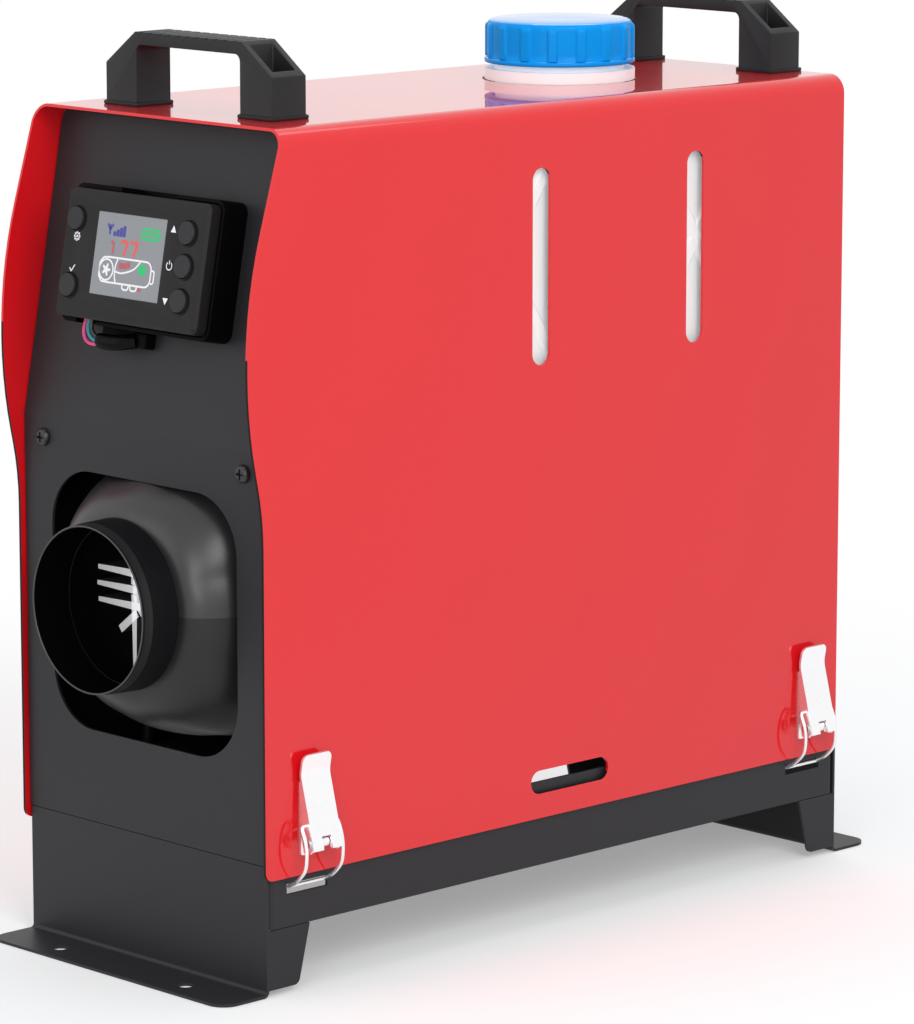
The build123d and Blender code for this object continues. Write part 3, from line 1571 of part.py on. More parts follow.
with BuildPart() as controller_front:
    with BuildSketch(on_panel(shell_out)):
        RectangleRounded(controller_width, controller_height, controller_corner)
    extrude(amount=front_shell_depth)
    chamfer(
        controller_front.faces().sort_by(Axis(controller_spot, panel_normal))[-1].edges(),
        controller_bevel,
    )
    with BuildSketch(on_panel(shell_out)):
        RectangleRounded(
            controller_width - 2 * controller_side,
            controller_height - 2 * controller_side,
            controller_corner - controller_side,
        )
    extrude(amount=front_shell_depth - controller_wall, mode=Mode.SUBTRACT)
    with BuildSketch(on_panel(shell_out)):
        with Locations((lead_exit_x, -half_height)):
            Rectangle(lead_notch_width, 4 * controller_side)
    extrude(amount=lead_notch_depth, mode=Mode.SUBTRACT)
    with BuildSketch(on_panel(face_out)):
        with Locations((screen_x, screen_up)):
            Rectangle(screen_width, screen_height)
        with Locations(*buttons.values()):
            Circle(button_radius + button_gap)
    extrude(amount=-controller_wall, mode=Mode.SUBTRACT)
finish(controller_front, "controller_front")

with BuildPart() as controller_screen:
    with BuildSketch(on_panel(face_out - screen_recess)):
        with Locations((screen_x, screen_up)):
            Rectangle(screen_width - pin_play, screen_height - pin_play)
    extrude(amount=-(controller_wall - screen_recess + screen_thickness))
finish(controller_screen, "controller_screen")

# A button stops on its switch after its whole travel.
flange_out = face_out - controller_wall - button_rest - button_flange_thickness
stem_out = flange_out - button_stem
switch_out = stem_out - button_travel - switch_gap
board_out = switch_out - switch_height
for name, spot in buttons.items():
    with BuildPart() as button:
        with BuildSketch(on_panel(stem_out)):
            with Locations(spot):
                Circle(switch_height)
        extrude(amount=button_stem)
        with BuildSketch(on_panel(flange_out)):
            with Locations(spot):
                Circle(button_flange)
        extrude(amount=button_flange_thickness)
        with BuildSketch(on_panel(flange_out)):
            with Locations(spot):
                Circle(button_radius)
        extrude(amount=face_out + button_proud - flange_out)
        top = button.faces().sort_by(Axis(controller_spot, panel_normal))[-1]
        fillet(top.edges(), button_proud / 2)
    finish(button, name)

with BuildPart() as control_board:
    with BuildSketch(on_panel(board_out)):
        RectangleRounded(
            controller_width - 2 * (controller_side + fit_gap),
            controller_height - 2 * (controller_side + fit_gap),
            controller_corner - controller_side,
        )
    extrude(amount=-board_thickness)
    with BuildSketch(on_panel(board_out)):
        with Locations(*buttons.values()):
            Rectangle(switch_size, switch_size)
    extrude(amount=switch_height)
    with BuildSketch(on_panel(board_out)):
        with Locations((screen_x, screen_up)):
            Rectangle(screen_width, screen_height)
    extrude(amount=face_out - controller_wall - screen_thickness - board_out)
finish(control_board, "control_board")


def panel_point(x, up, out):
    """A point given by its place on the sloping panel and its distance out of it."""
    return controller_spot + Vector(x, 0, 0) + panel_up * up + panel_normal * out


def build_wire(points, bend, radius):
    """A round lead along straight runs joined by tangent arcs."""
    with BuildPart() as wire:
        with BuildLine():
            FilletPolyline(*points, radius=bend)
        with BuildSketch(Plane(origin=points[0], z_dir=points[1] - points[0])):
            Circle(radius)
        sweep()
    return wire


# Three wires leave the controller, turn across the panel and enter a sleeve that
# ends in a square bush on the panel.
sleeve_start = panel_point(*lead_start)
sleeve_bend = panel_point(*lead_middle)
sleeve_end = panel_point(*lead_end)
heading = (sleeve_bend - sleeve_start).normalized()
wire_top = -half_height + controller_side
spread = panel_normal.cross(heading).normalized()
with BuildPart() as lead_wires:
    for place in (-1, 0, 1):
        finish_point = sleeve_start + spread * (place * lead_wire_pitch)
        back_step = lead_exit_x + place * lead_wire_pitch - lead_start[0]
        corner = finish_point + heading * (back_step / heading.X)
        corner_up = (corner - controller_spot).dot(panel_up)
        top = corner + panel_up * (wire_top - corner_up)
        with BuildLine() as run:
            FilletPolyline(top, corner, finish_point, radius=lead_bend)
        with BuildSketch(Plane(origin=top, x_dir=(1, 0, 0), z_dir=-panel_up)):
            Circle(lead_wire_radius)
        sweep(path=run.line)
finish(lead_wires, "lead_wires")

with BuildPart() as lead_sleeve:
    with BuildLine() as run:
        FilletPolyline(sleeve_start, sleeve_bend, sleeve_end, radius=lead_sleeve_bend)
    with BuildSketch(Plane(origin=sleeve_start, x_dir=spread, z_dir=heading)):
        SlotOverall(2 * (lead_wire_pitch + lead_sleeve_wall + lead_wire_radius), lead_sleeve_depth)
    sweep(path=run.line)
    with BuildSketch(on_panel(0)):
        with Locations((lead_block_x, lead_block_up)):
            RectangleRounded(lead_block_width, lead_block_height, lead_sleeve_wall / 2)
    extrude(amount=lead_block_depth)
finish(lead_sleeve, "lead_sleeve")
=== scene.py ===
"""Diesel air heater in an upright case: finishes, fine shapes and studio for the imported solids.

Lengths are in metres, in the solids' own frame: X is across the case, -Y is the hot-air end, Z is up, and the
origin is on the floor at the centre of the four foot holes. Sizes that a user would change are properties of the
scene; the operators read them and make one piece, or one group of like pieces, each.
"""

import math

import bmesh
import bpy
import numpy as np
from bpy.props import FloatProperty, FloatVectorProperty, PointerProperty
from mathutils import Matrix, Vector


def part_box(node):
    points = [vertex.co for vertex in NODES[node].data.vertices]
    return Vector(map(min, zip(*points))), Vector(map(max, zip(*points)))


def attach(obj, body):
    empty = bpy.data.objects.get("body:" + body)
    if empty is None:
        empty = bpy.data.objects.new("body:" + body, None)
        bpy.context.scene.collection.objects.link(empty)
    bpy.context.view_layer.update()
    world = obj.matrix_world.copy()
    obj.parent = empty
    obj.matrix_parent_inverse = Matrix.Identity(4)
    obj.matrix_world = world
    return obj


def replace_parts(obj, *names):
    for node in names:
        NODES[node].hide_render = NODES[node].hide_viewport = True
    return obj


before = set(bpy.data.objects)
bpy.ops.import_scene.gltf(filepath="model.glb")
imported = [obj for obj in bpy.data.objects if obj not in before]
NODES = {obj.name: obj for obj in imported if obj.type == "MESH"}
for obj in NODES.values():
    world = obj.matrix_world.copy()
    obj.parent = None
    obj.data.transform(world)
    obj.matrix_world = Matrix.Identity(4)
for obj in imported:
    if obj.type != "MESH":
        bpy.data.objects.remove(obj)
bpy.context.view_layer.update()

bl_info = {
    "name": "Diesel Air Heater Case",
    "version": (1, 0, 0),
    "blender": (4, 5, 0),
    "location": "View3D > Sidebar > Heater",
    "description": "Makes the finishes and fine shapes of a portable diesel air heater",
    "category": "Add Mesh",
}

MM = 0.001


# ------------------------------------------------------------------ numbers and curves


def filleted(points, radii, steps=14):
    """Polyline whose inner corners are arcs: each arc starts r*tan(half the turn) before its corner and runs on the
    circle of radius r that touches both runs."""
    points = [np.array(p, float) for p in points]
    out = [points[0][None]]
    for before, corner, after, radius in zip(points, points[1:], points[2:], radii):
        a = (before - corner) / np.linalg.norm(before - corner)
        b = (after - corner) / np.linalg.norm(after - corner)
        half = math.acos(float(np.clip(a @ b, -1, 1))) / 2
        middle = corner + (a + b) / np.linalg.norm(a + b) * radius / math.sin(half)
        start = corner + a * radius / math.tan(half) - middle
        end = corner + b * radius / math.tan(half) - middle
        turn = math.pi - 2 * half
        t = np.linspace(0, turn, steps)[:, None]
        out.append(middle + (start * np.sin(turn - t) + end * np.sin(t)) / math.sin(turn))
    out.append(points[-1][None])
    return np.vstack(out)


def rounded_rectangle(width, height, corner, steps=8):
    """Closed outline: each quarter is corner*(cos a, sin a) about a point set in from that corner of the rectangle."""
    corner = max(min(corner, width / 2 - 1e-6, height / 2 - 1e-6), 1e-6)
    a = np.linspace(0, math.pi / 2, steps + 1)
    quarters = []
    for k, (sx, sy) in enumerate(((1, 1), (-1, 1), (-1, -1), (1, -1))):
        angle = a + k * math.pi / 2
        quarters.append(np.stack((sx * (width / 2 - corner) + corner * np.cos(angle),
                                  sy * (height / 2 - corner) + corner * np.sin(angle)), axis=1))
    return np.vstack(quarters)


def circle(radius, count):
    """Closed outline: radius*(cos a, sin a) at count even angles."""
    a = np.linspace(0, 2 * math.pi, count, endpoint=False)
    return np.stack((radius * np.cos(a), radius * np.sin(a)), axis=1)


def smooth_path(points, steps=10):
    """Catmull-Rom curve through the points: each stretch is the cubic whose ends lean along the line between the
    neighbouring points."""
    p = np.array(points, float)
    p = np.vstack((2 * p[0] - p[1], p, 2 * p[-1] - p[-2]))
    t = np.linspace(0, 1, steps, endpoint=False)[None, :, None]
    a, b, c, d = (p[i:len(p) - 3 + i, None, :] for i in range(4))
    run = 0.5 * (2 * b + (c - a) * t + (2 * a - 5 * b + 4 * c - d) * t**2 + (3 * b - a - 3 * c + d) * t**3)
    return np.vstack((run.reshape(-1, p.shape[1]), p[-2][None]))


def spline(points, steps=8):
    """Quadratic curve guided by its points: between the middles of two neighbouring runs it is the parabola whose
    sides are those runs, and it starts and ends in the first and last point."""
    p = np.array(points, float)
    middles = (p[1:-2] + p[2:-1]) / 2
    starts = np.vstack((p[:1], middles))
    ends = np.vstack((middles, p[-1:]))
    t = np.linspace(0, 1, steps, endpoint=False)[None, :, None]
    run = (1 - t) ** 2 * starts[:, None] + 2 * t * (1 - t) * p[1:-1, None] + t**2 * ends[:, None]
    return np.vstack((run.reshape(-1, 3), p[-1:]))


# ------------------------------------------------------------------ meshes


def as_object(name, mesh, body="heater_case"):
    """Links a finished mesh at the origin and lets it ride on a body of the frame."""
    piece = bpy.data.objects.new(name, mesh)
    bpy.context.scene.collection.objects.link(piece)
    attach(piece, body)
    return piece


def surface(name, grid, wrap_u=False, wrap_v=False, cap_start=False, cap_end=False, sharp=40.0):
    """Mesh of quads over a grid of points [row, column]. wrap_u joins the last row to the first, wrap_v the last
    column to the first. A cap closes the first or last row with one face."""
    rows, columns = grid.shape[:2]
    i = np.arange(rows if wrap_u else rows - 1)[:, None]
    j = np.arange(columns if wrap_v else columns - 1)[None, :]
    i2, j2 = (i + 1) % rows, (j + 1) % columns
    corners = (i * columns + j, i * columns + j2, i2 * columns + j2, i2 * columns + j)
    faces = np.stack(corners, axis=-1).reshape(-1, 4).tolist()
    if cap_start:
        faces.append(list(range(columns))[::-1])
    if cap_end:
        faces.append([(rows - 1) * columns + k for k in range(columns)])
    mesh = bpy.data.meshes.new(name)
    mesh.from_pydata(grid.reshape(-1, 3).tolist(), [], faces)
    shade(mesh, sharp)
    return mesh


def shade(mesh, sharp):
    """Smooth shading with edges sharper than the angle, in degrees, kept crisp."""
    mesh.polygons.foreach_set("use_smooth", np.ones(len(mesh.polygons), bool))
    mesh.set_sharp_from_angle(angle=math.radians(sharp))
    mesh.update()


def lathe(name, profile, centre, axis, count=96, turn=None, sharp=40.0):
    """Surface of revolution: a profile of (along, radius) goes round the axis. turn may scale the radius by angle and
    place along the profile. Ends of radius 0 are merged to one point."""
    along, radius = np.array(profile, float).T
    angle = np.linspace(0, 2 * math.pi, count, endpoint=False)
    r = np.repeat(radius[:, None], count, axis=1)
    if turn is not None:
        r = r + turn(along[:, None], radius[:, None], angle[None, :])
    axis = Vector(axis).normalized()
    side = Vector((0, 0, 1)) if abs(axis.z) < 0.9 else Vector((1, 0, 0))
    e1 = (side - axis * side.dot(axis)).normalized()
    e2 = axis.cross(e1)
    e1, e2, ax = (np.array(v) for v in (e1, e2, axis))
    points = (np.array(centre) + along[:, None, None] * ax
              + r[..., None] * (np.cos(angle)[None, :, None] * e1 + np.sin(angle)[None, :, None] * e2))
    mesh = surface(name, points, wrap_v=True, sharp=sharp)
    return closed(mesh, sharp)


def closed(mesh, sharp=40.0):
    """Merges doubles and turns the faces outwards."""
    work = bmesh.new()
    work.from_mesh(mesh)
    bmesh.ops.remove_doubles(work, verts=work.verts, dist=1e-6)
    bmesh.ops.recalc_face_normals(work, faces=work.faces)
    work.to_mesh(mesh)
    work.free()
    shade(mesh, sharp)
    return mesh


def block(name, rings, sharp=40.0):
    """Closed body through rings of points, the first and the last of them capped."""
    return closed(surface(name, np.stack(rings), wrap_v=True, cap_start=True, cap_end=True), sharp)


def tube(name, path, radius, count=20):
    """Round tube: a circle carried along a path and kept square to it. A fixed direction near the world's up sets where
    the circle starts."""
    path = np.array(path, float)
    ahead = np.gradient(path, axis=0)
    ahead /= np.linalg.norm(ahead, axis=1)[:, None]
    near_up = np.array((0.0, 0.31, 0.95))
    e1 = np.cross(ahead, near_up)
    e1 /= np.linalg.norm(e1, axis=1)[:, None]
    e2 = np.cross(e1, ahead)
    a = np.linspace(0, 2 * math.pi, count, endpoint=False)[None, :, None]
    return block(name, path[:, None] + radius * (np.cos(a) * e1[:, None] + np.sin(a) * e2[:, None]))


def join(name, meshes, sharp=40.0):
    """One mesh from several, each keeping its own material slots."""
    work = bmesh.new()
    materials = []
    for mesh in meshes:
        start = len(work.faces)
        work.from_mesh(mesh)
        work.faces.ensure_lookup_table()
        lookup = []
        for material in mesh.materials:
            if material not in materials:
                materials.append(material)
            lookup.append(materials.index(material))
        if lookup:
            for face in work.faces[start:]:
                face.material_index = lookup[min(face.material_index, len(lookup) - 1)]
    whole = bpy.data.meshes.new(name)
    work.to_mesh(whole)
    work.free()
    for material in materials:
        whole.materials.append(material)
    shade(whole, sharp)
    return whole


def merged_copy(node):
    """The solid's mesh with its loose triangles merged and flat areas made single faces."""
    work = bmesh.new()
    work.from_mesh(NODES[node].data)
    bmesh.ops.remove_doubles(work, verts=work.verts, dist=2e-6)
    bmesh.ops.dissolve_limit(work, angle_limit=math.radians(0.6), verts=work.verts, edges=work.edges)
    mesh = bpy.data.meshes.new(node + "_soft")
    work.to_mesh(mesh)
    work.free()
    for name in [a.name for a in mesh.attributes if a.name == "custom_normal"]:
        mesh.attributes.remove(mesh.attributes[name])
    return mesh


def softened(node, width, segments=2):
    """Stands in for a solid with its edges rounded over, which catches the light as moulded or folded edges do."""
    mesh = merged_copy(node)
    shade(mesh, 30.0)
    piece = as_object(node + "_soft", mesh)
    bevel = piece.modifiers.new("round_over", "BEVEL")
    bevel.width = width
    bevel.segments = segments
    bevel.limit_method = "ANGLE"
    bevel.angle_limit = math.radians(35)
    bevel.use_clamp_overlap = True
    bevel.harden_normals = False
    applied(piece)
    shade(piece.data, 35.0)
    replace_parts(piece, node)
    return piece


def applied(piece):
    """Applies every modifier of a piece."""
    bpy.context.view_layer.update()
    graph = bpy.context.evaluated_depsgraph_get()
    mesh = bpy.data.meshes.new_from_object(piece.evaluated_get(graph))
    old = piece.data
    piece.modifiers.clear()
    piece.data = mesh
    mesh.name = piece.name
    if old.users == 0:
        bpy.data.meshes.remove(old)
    return piece


def cut(piece, *cutters):
    """Takes the cutters' volumes out of a piece."""
    for mesh in cutters:
        tool = bpy.data.objects.new("cutter", mesh)
        bpy.context.scene.collection.objects.link(tool)
        step = piece.modifiers.new("cut", "BOOLEAN")
        step.operation = "DIFFERENCE"
        step.solver = "EXACT"
        step.object = tool
        applied(piece)
        bpy.data.objects.remove(tool)
        bpy.data.meshes.remove(mesh)
    return piece


def prism(name, outline, place, depth):
    """Straight prism: an outline of (a, b) at place(a, b, c), from c = depth[0] to depth[1]."""
    outline = np.array(outline, float)
    return block(name, [place(outline[:, 0], outline[:, 1], c) for c in depth])


def painted(mesh, material):
    """Gives a mesh one material and returns it."""
    mesh.materials.clear()
    mesh.materials.append(material)
    return mesh


def zoned(mesh, keys, zone):
    """Gives a mesh several finishes, and each face the one whose place in the list its zone says."""
    mesh.materials.clear()
    for key in keys:
        mesh.materials.append(finish(key))
    mesh.polygons.foreach_set("material_index", np.asarray(zone).astype(np.int32))
    return mesh


def coat(material, *nodes):
    """Puts a material on solids that stay as they are."""
    for node in nodes:
        slots = NODES[node].data.materials
        slots.clear()
        slots.append(material)


# ------------------------------------------------------------------ nodes and finishes


def add_node(tree, kind, inputs=None, **options):
    """New shader node of a kind. options are its own settings. inputs gives an input, by its label or place, a value
    or the output of another node."""
    made = tree.nodes.new("ShaderNode" + kind)
    for label, value in options.items():
        setattr(made, label, value)
    for place, value in (inputs or {}).items():
        if isinstance(value, bpy.types.NodeSocket):
            tree.links.new(value, made.inputs[place])
        else:
            made.inputs[place].default_value = value
    return made


def calculate(tree, operation, *values):
    """Output of a new Math node. Each value is a number or the output of another node."""
    return add_node(tree, "Math", dict(enumerate(values)), operation=operation).outputs[0]


def node_group(name, inputs, outputs):
    """New shader node group, the values that come in and the places where they go out. An input has a default, which
    is a number or a colour, and an output has a kind, Float or Color."""
    group = bpy.data.node_groups.new(name, "ShaderNodeTree")
    for label, default in inputs.items():
        kind = "NodeSocketColor" if isinstance(default, tuple) else "NodeSocketFloat"
        group.interface.new_socket(name=label, in_out="INPUT", socket_type=kind).default_value = default
    for label, kind in outputs.items():
        group.interface.new_socket(name=label, in_out="OUTPUT", socket_type="NodeSocket" + kind)
    return group, group.nodes.new("NodeGroupInput").outputs, group.nodes.new("NodeGroupOutput").inputs


def grain_group():
    """Group 'Surface grain': fine noise and a wide slow drift from object coordinates. Out come a height for a bump,
    a roughness between two values, and a colour lightened and darkened a little."""
    if "Surface grain" in bpy.data.node_groups:
        return bpy.data.node_groups["Surface grain"]
    group, enter, leave = node_group(
        "Surface grain",
        {"Colour": (0.5, 0.5, 0.5, 1), "Fine Scale": 900.0, "Wide Scale": 18.0, "Fine Share": 0.7,
         "Roughness Low": 0.4, "Roughness High": 0.5, "Colour Drift": 0.06},
        {"Height": "Float", "Roughness": "Float", "Colour": "Color"})
    place = add_node(group, "TexCoord").outputs["Object"]
    fine = add_node(group, "TexNoise", {"Vector": place, "Scale": enter["Fine Scale"], "Detail": 3.0}).outputs["Fac"]
    wide = add_node(group, "TexNoise", {"Vector": place, "Scale": enter["Wide Scale"], "Detail": 2.0}).outputs["Fac"]
    height = add_node(group, "Mix", {"Factor": enter["Fine Share"], "A": wide, "B": fine}).outputs["Result"]
    rough = add_node(group, "MapRange", {
        "Value": height, "From Min": 0.3, "From Max": 0.7,
        "To Min": enter["Roughness Low"], "To Max": enter["Roughness High"]}).outputs["Result"]
    drift = calculate(group, "MULTIPLY_ADD", calculate(group, "SUBTRACT", wide, 0.5), enter["Colour Drift"], 1.0)
    tone = add_node(group, "VectorMath", {0: enter["Colour"], "Scale": drift}, operation="SCALE").outputs["Vector"]
    for label, value in (("Height", height), ("Roughness", rough), ("Colour", tone)):
        group.links.new(value, leave[label])
    return group


def inner_shade_group():
    """Group that paints shade on the inner side of a folded cover: a dark shade colour stands in for the shade inside
    the case. Inner is what faces the cover's middle line and lies behind the end panel, whose plane leans back above
    a height. The low part of the front edge, which lies in the gap beside the panel, is painted dark as shade too."""
    if "Painted inner shade" in bpy.data.node_groups:
        return bpy.data.node_groups["Painted inner shade"]
    group, enter, leave = node_group(
        "Painted inner shade",
        {"Colour": (0.5, 0.5, 0.5, 1), "Middle Height": 0.0, "Panel Front": 0.0, "Lean Start": 0.0, "Lean": 0.185,
         "Gap Top": 0.0, "Gap Rear": -0.15, "Shade Colour": (0.012, 0.010, 0.011, 1)},
        {"Colour": "Color", "Outside": "Float"})

    def step(operation, *values):
        return calculate(group, operation, *values)

    place = add_node(group, "TexCoord").outputs
    at = add_node(group, "SeparateXYZ", {0: place["Object"]}).outputs
    facing = add_node(group, "SeparateXYZ", {0: place["Normal"]}).outputs
    rise = step("SUBTRACT", at["Z"], enter["Middle Height"])
    outward = step("MULTIPLY_ADD", rise, facing["Z"], step("MULTIPLY", at["X"], facing["X"]))
    inward = step("LESS_THAN", outward, -0.05)
    above = step("MAXIMUM", step("SUBTRACT", at["Z"], enter["Lean Start"]), 0.0)
    panel = step("MULTIPLY_ADD", above, enter["Lean"], enter["Panel Front"])
    inner = step("MULTIPLY", inward, step("GREATER_THAN", at["Y"], panel))
    edge = step("LESS_THAN", facing["Y"], -0.7)
    low = step("MULTIPLY", step("LESS_THAN", at["Z"], enter["Gap Top"]), step("LESS_THAN", at["Y"], enter["Gap Rear"]))
    # painted shade: the inner side behind the panel, and the low front edge in the gap beside it
    dark = step("MAXIMUM", inner, step("MULTIPLY", edge, low))
    mix = add_node(group, "Mix", {"Factor": dark, 6: enter["Colour"], 7: enter["Shade Colour"]}, data_type="RGBA")
    group.links.new(mix.outputs[2], leave["Colour"])
    group.links.new(step("SUBTRACT", 1.0, dark), leave["Outside"])
    return group


def empty_material(name):
    """New material without nodes, and its node tree."""
    material = bpy.data.materials.new(name)
    material.use_nodes = True
    material.node_tree.nodes.clear()
    return material, material.node_tree


def finish_material(name, colour, rough, fine=900.0, wide=18.0, share=0.7, drift=0.06, bump=0.05, depth=0.0002,
                    metal=0.0, coat_weight=0.0, coat_rough=0.03, specular=0.5, subsurface=0.0,
                    subsurface_radius=0.004, glow=0.0, inside=None, top_gloss=False):
    """Principled finish whose colour, roughness and bump come from the 'Surface grain' group. glow lights it with
    its own colour; inside names the values of the group that paints shade on a cover's inner side, where the colour
    falls to a dark shade colour and the clear coat goes off; top_gloss keeps the clear coat to faces that look up."""
    material, tree = empty_material(name)
    plain = (*colour, 1.0)
    grain = add_node(tree, "Group", {
        "Colour": plain, "Fine Scale": fine, "Wide Scale": wide, "Fine Share": share,
        "Roughness Low": rough[0], "Roughness High": rough[1], "Colour Drift": drift}, node_tree=grain_group()).outputs
    relief = add_node(tree, "Bump", {"Strength": bump, "Distance": depth, "Height": grain["Height"]}).outputs
    shader = add_node(tree, "BsdfPrincipled", {
        "Base Color": grain["Colour"], "Roughness": grain["Roughness"], "Normal": relief["Normal"],
        "Metallic": metal, "Coat Weight": coat_weight, "Coat Roughness": coat_rough, "Specular IOR Level": specular})
    # painted shade on the cover's inner side: the shade colour there and no clear coat
    if inside is not None:
        skin = add_node(tree, "Group", {"Colour": grain["Colour"], **inside}, node_tree=inner_shade_group()).outputs
        tree.links.new(skin["Colour"], shader.inputs["Base Color"])
        tree.links.new(calculate(tree, "MULTIPLY", skin["Outside"], coat_weight), shader.inputs["Coat Weight"])
    if top_gloss:
        facing = add_node(tree, "SeparateXYZ", {0: add_node(tree, "TexCoord").outputs["Normal"]}).outputs
        up = calculate(tree, "GREATER_THAN", facing["Z"], 0.75)
        tree.links.new(calculate(tree, "MULTIPLY", up, coat_weight), shader.inputs["Coat Weight"])
        shader.inputs["Coat IOR"].default_value = 2.2
    if glow:
        shader.inputs["Emission Color"].default_value = plain
        shader.inputs["Emission Strength"].default_value = glow
    if subsurface:
        shader.inputs["Subsurface Weight"].default_value = subsurface
        shader.inputs["Subsurface Radius"].default_value = (1.0, 1.0, 1.0)
        shader.inputs["Subsurface Scale"].default_value = subsurface_radius
    add_node(tree, "OutputMaterial", {"Surface": shader.outputs["BSDF"]})
    material.diffuse_color = plain
    return material


class HeaterColours(bpy.types.PropertyGroup):
    """Base colours of the finishes, as linear values."""

    cover: FloatVectorProperty(name="Cover paint", description="Red gloss paint of the lift-off cover",
                               subtype="COLOR", size=3, min=0, max=1, default=(0.78, 0.006, 0.012))
    steel_paint: FloatVectorProperty(name="Case paint", description="Charcoal powder coat of base and end panels",
                                     subtype="COLOR", size=3, min=0, max=1, default=(0.021, 0.021, 0.0238))
    moulding: FloatVectorProperty(name="Black mouldings", description="Cold-air cowl, fans and handles",
                                  subtype="COLOR", size=3, min=0, max=1, default=(0.011, 0.011, 0.0125))
    cap: FloatVectorProperty(name="Fuel cap", description="Blue plastic of the fuel cap",
                             subtype="COLOR", size=3, min=0, max=1, default=(0.0, 0.33, 0.90))
    tank: FloatVectorProperty(name="Fuel tank", description="Milky plastic of the tank and its neck",
                              subtype="COLOR", size=3, min=0, max=1, default=(0.92, 0.92, 0.92))
    latch: FloatVectorProperty(name="Latches", description="Pale coating of the toggle latches",
                               subtype="COLOR", size=3, min=0, max=1, default=(0.95, 0.95, 0.96))
    screen: FloatVectorProperty(name="Screen", description="Pale grey ground of the controller's screen",
                                subtype="COLOR", size=3, min=0, max=1, default=(0.255, 0.265, 0.285))


class HeaterSizes(bpy.types.PropertyGroup):
    """Sizes of the fine shapes."""

    handle_edge: FloatProperty(name="Handle edge", description="Rounding of the handles' edges",
                               subtype="DISTANCE", unit="LENGTH", default=0.0007, min=0.0001, max=0.002)
    shell_edge: FloatProperty(name="Controller edge", description="Rounding of the controller's edges",
                              subtype="DISTANCE", unit="LENGTH", default=0.0006, min=0.0001, max=0.0015)
    screw_edge: FloatProperty(name="Screw edge", description="Rounding of the panel screws' heads",
                              subtype="DISTANCE", unit="LENGTH", default=0.0009, min=0.0001, max=0.0015)
    lever_corner: FloatProperty(name="Lever corner", description="Radius of the levers' upper corners",
                                subtype="DISTANCE", unit="LENGTH", default=0.0032, min=0.0005, max=0.006)
    dome_swell: FloatProperty(name="Dome swell", description="How slowly the duct's dome opens towards its rear",
                              subtype="FACTOR", default=0.44, min=0.2, max=1.0)


LEAN_START = 0.2175             # height from which the front panel leans back
# Below GAP_TOP the cover's front edge, lying in the gap beside the panel, is painted dark as shade.
GAP_TOP = 0.256                 # top of the dark gap between the panel and the cover's front edge


def cover_inside():
    """Where shade is painted on the inner side of the cover: the height of its middle, the face of the front panel with
    the height from which it leans back, and the top of the dark gap beside the panel."""
    low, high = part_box("cover")
    return {"Middle Height": (low[2] + high[2]) / 2, "Panel Front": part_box("front_panel")[0][1] + MM,
            "Lean Start": LEAN_START, "Gap Top": GAP_TOP}


# What several finishes share.
PLATED = dict(wide=60, share=0.5, drift=0.12, bump=0.03)
CAST = dict(wide=90, drift=0.14, bump=0.15)
DUCT = dict(fine=1500, wide=22, share=0.8, drift=0.08, bump=0.10, depth=0.00012)
SMOOTH = dict(rough=(0.34, 0.46), wide=60, bump=0.03)
SATIN = dict(fine=1600, wide=50, share=0.8, bump=0.08, depth=0.0001)
WIRE = dict(rough=(0.25, 0.35), wide=90, bump=0.02)
SIGN = dict(rough=(0.3, 0.4), wide=200, drift=0.1, bump=0.02)

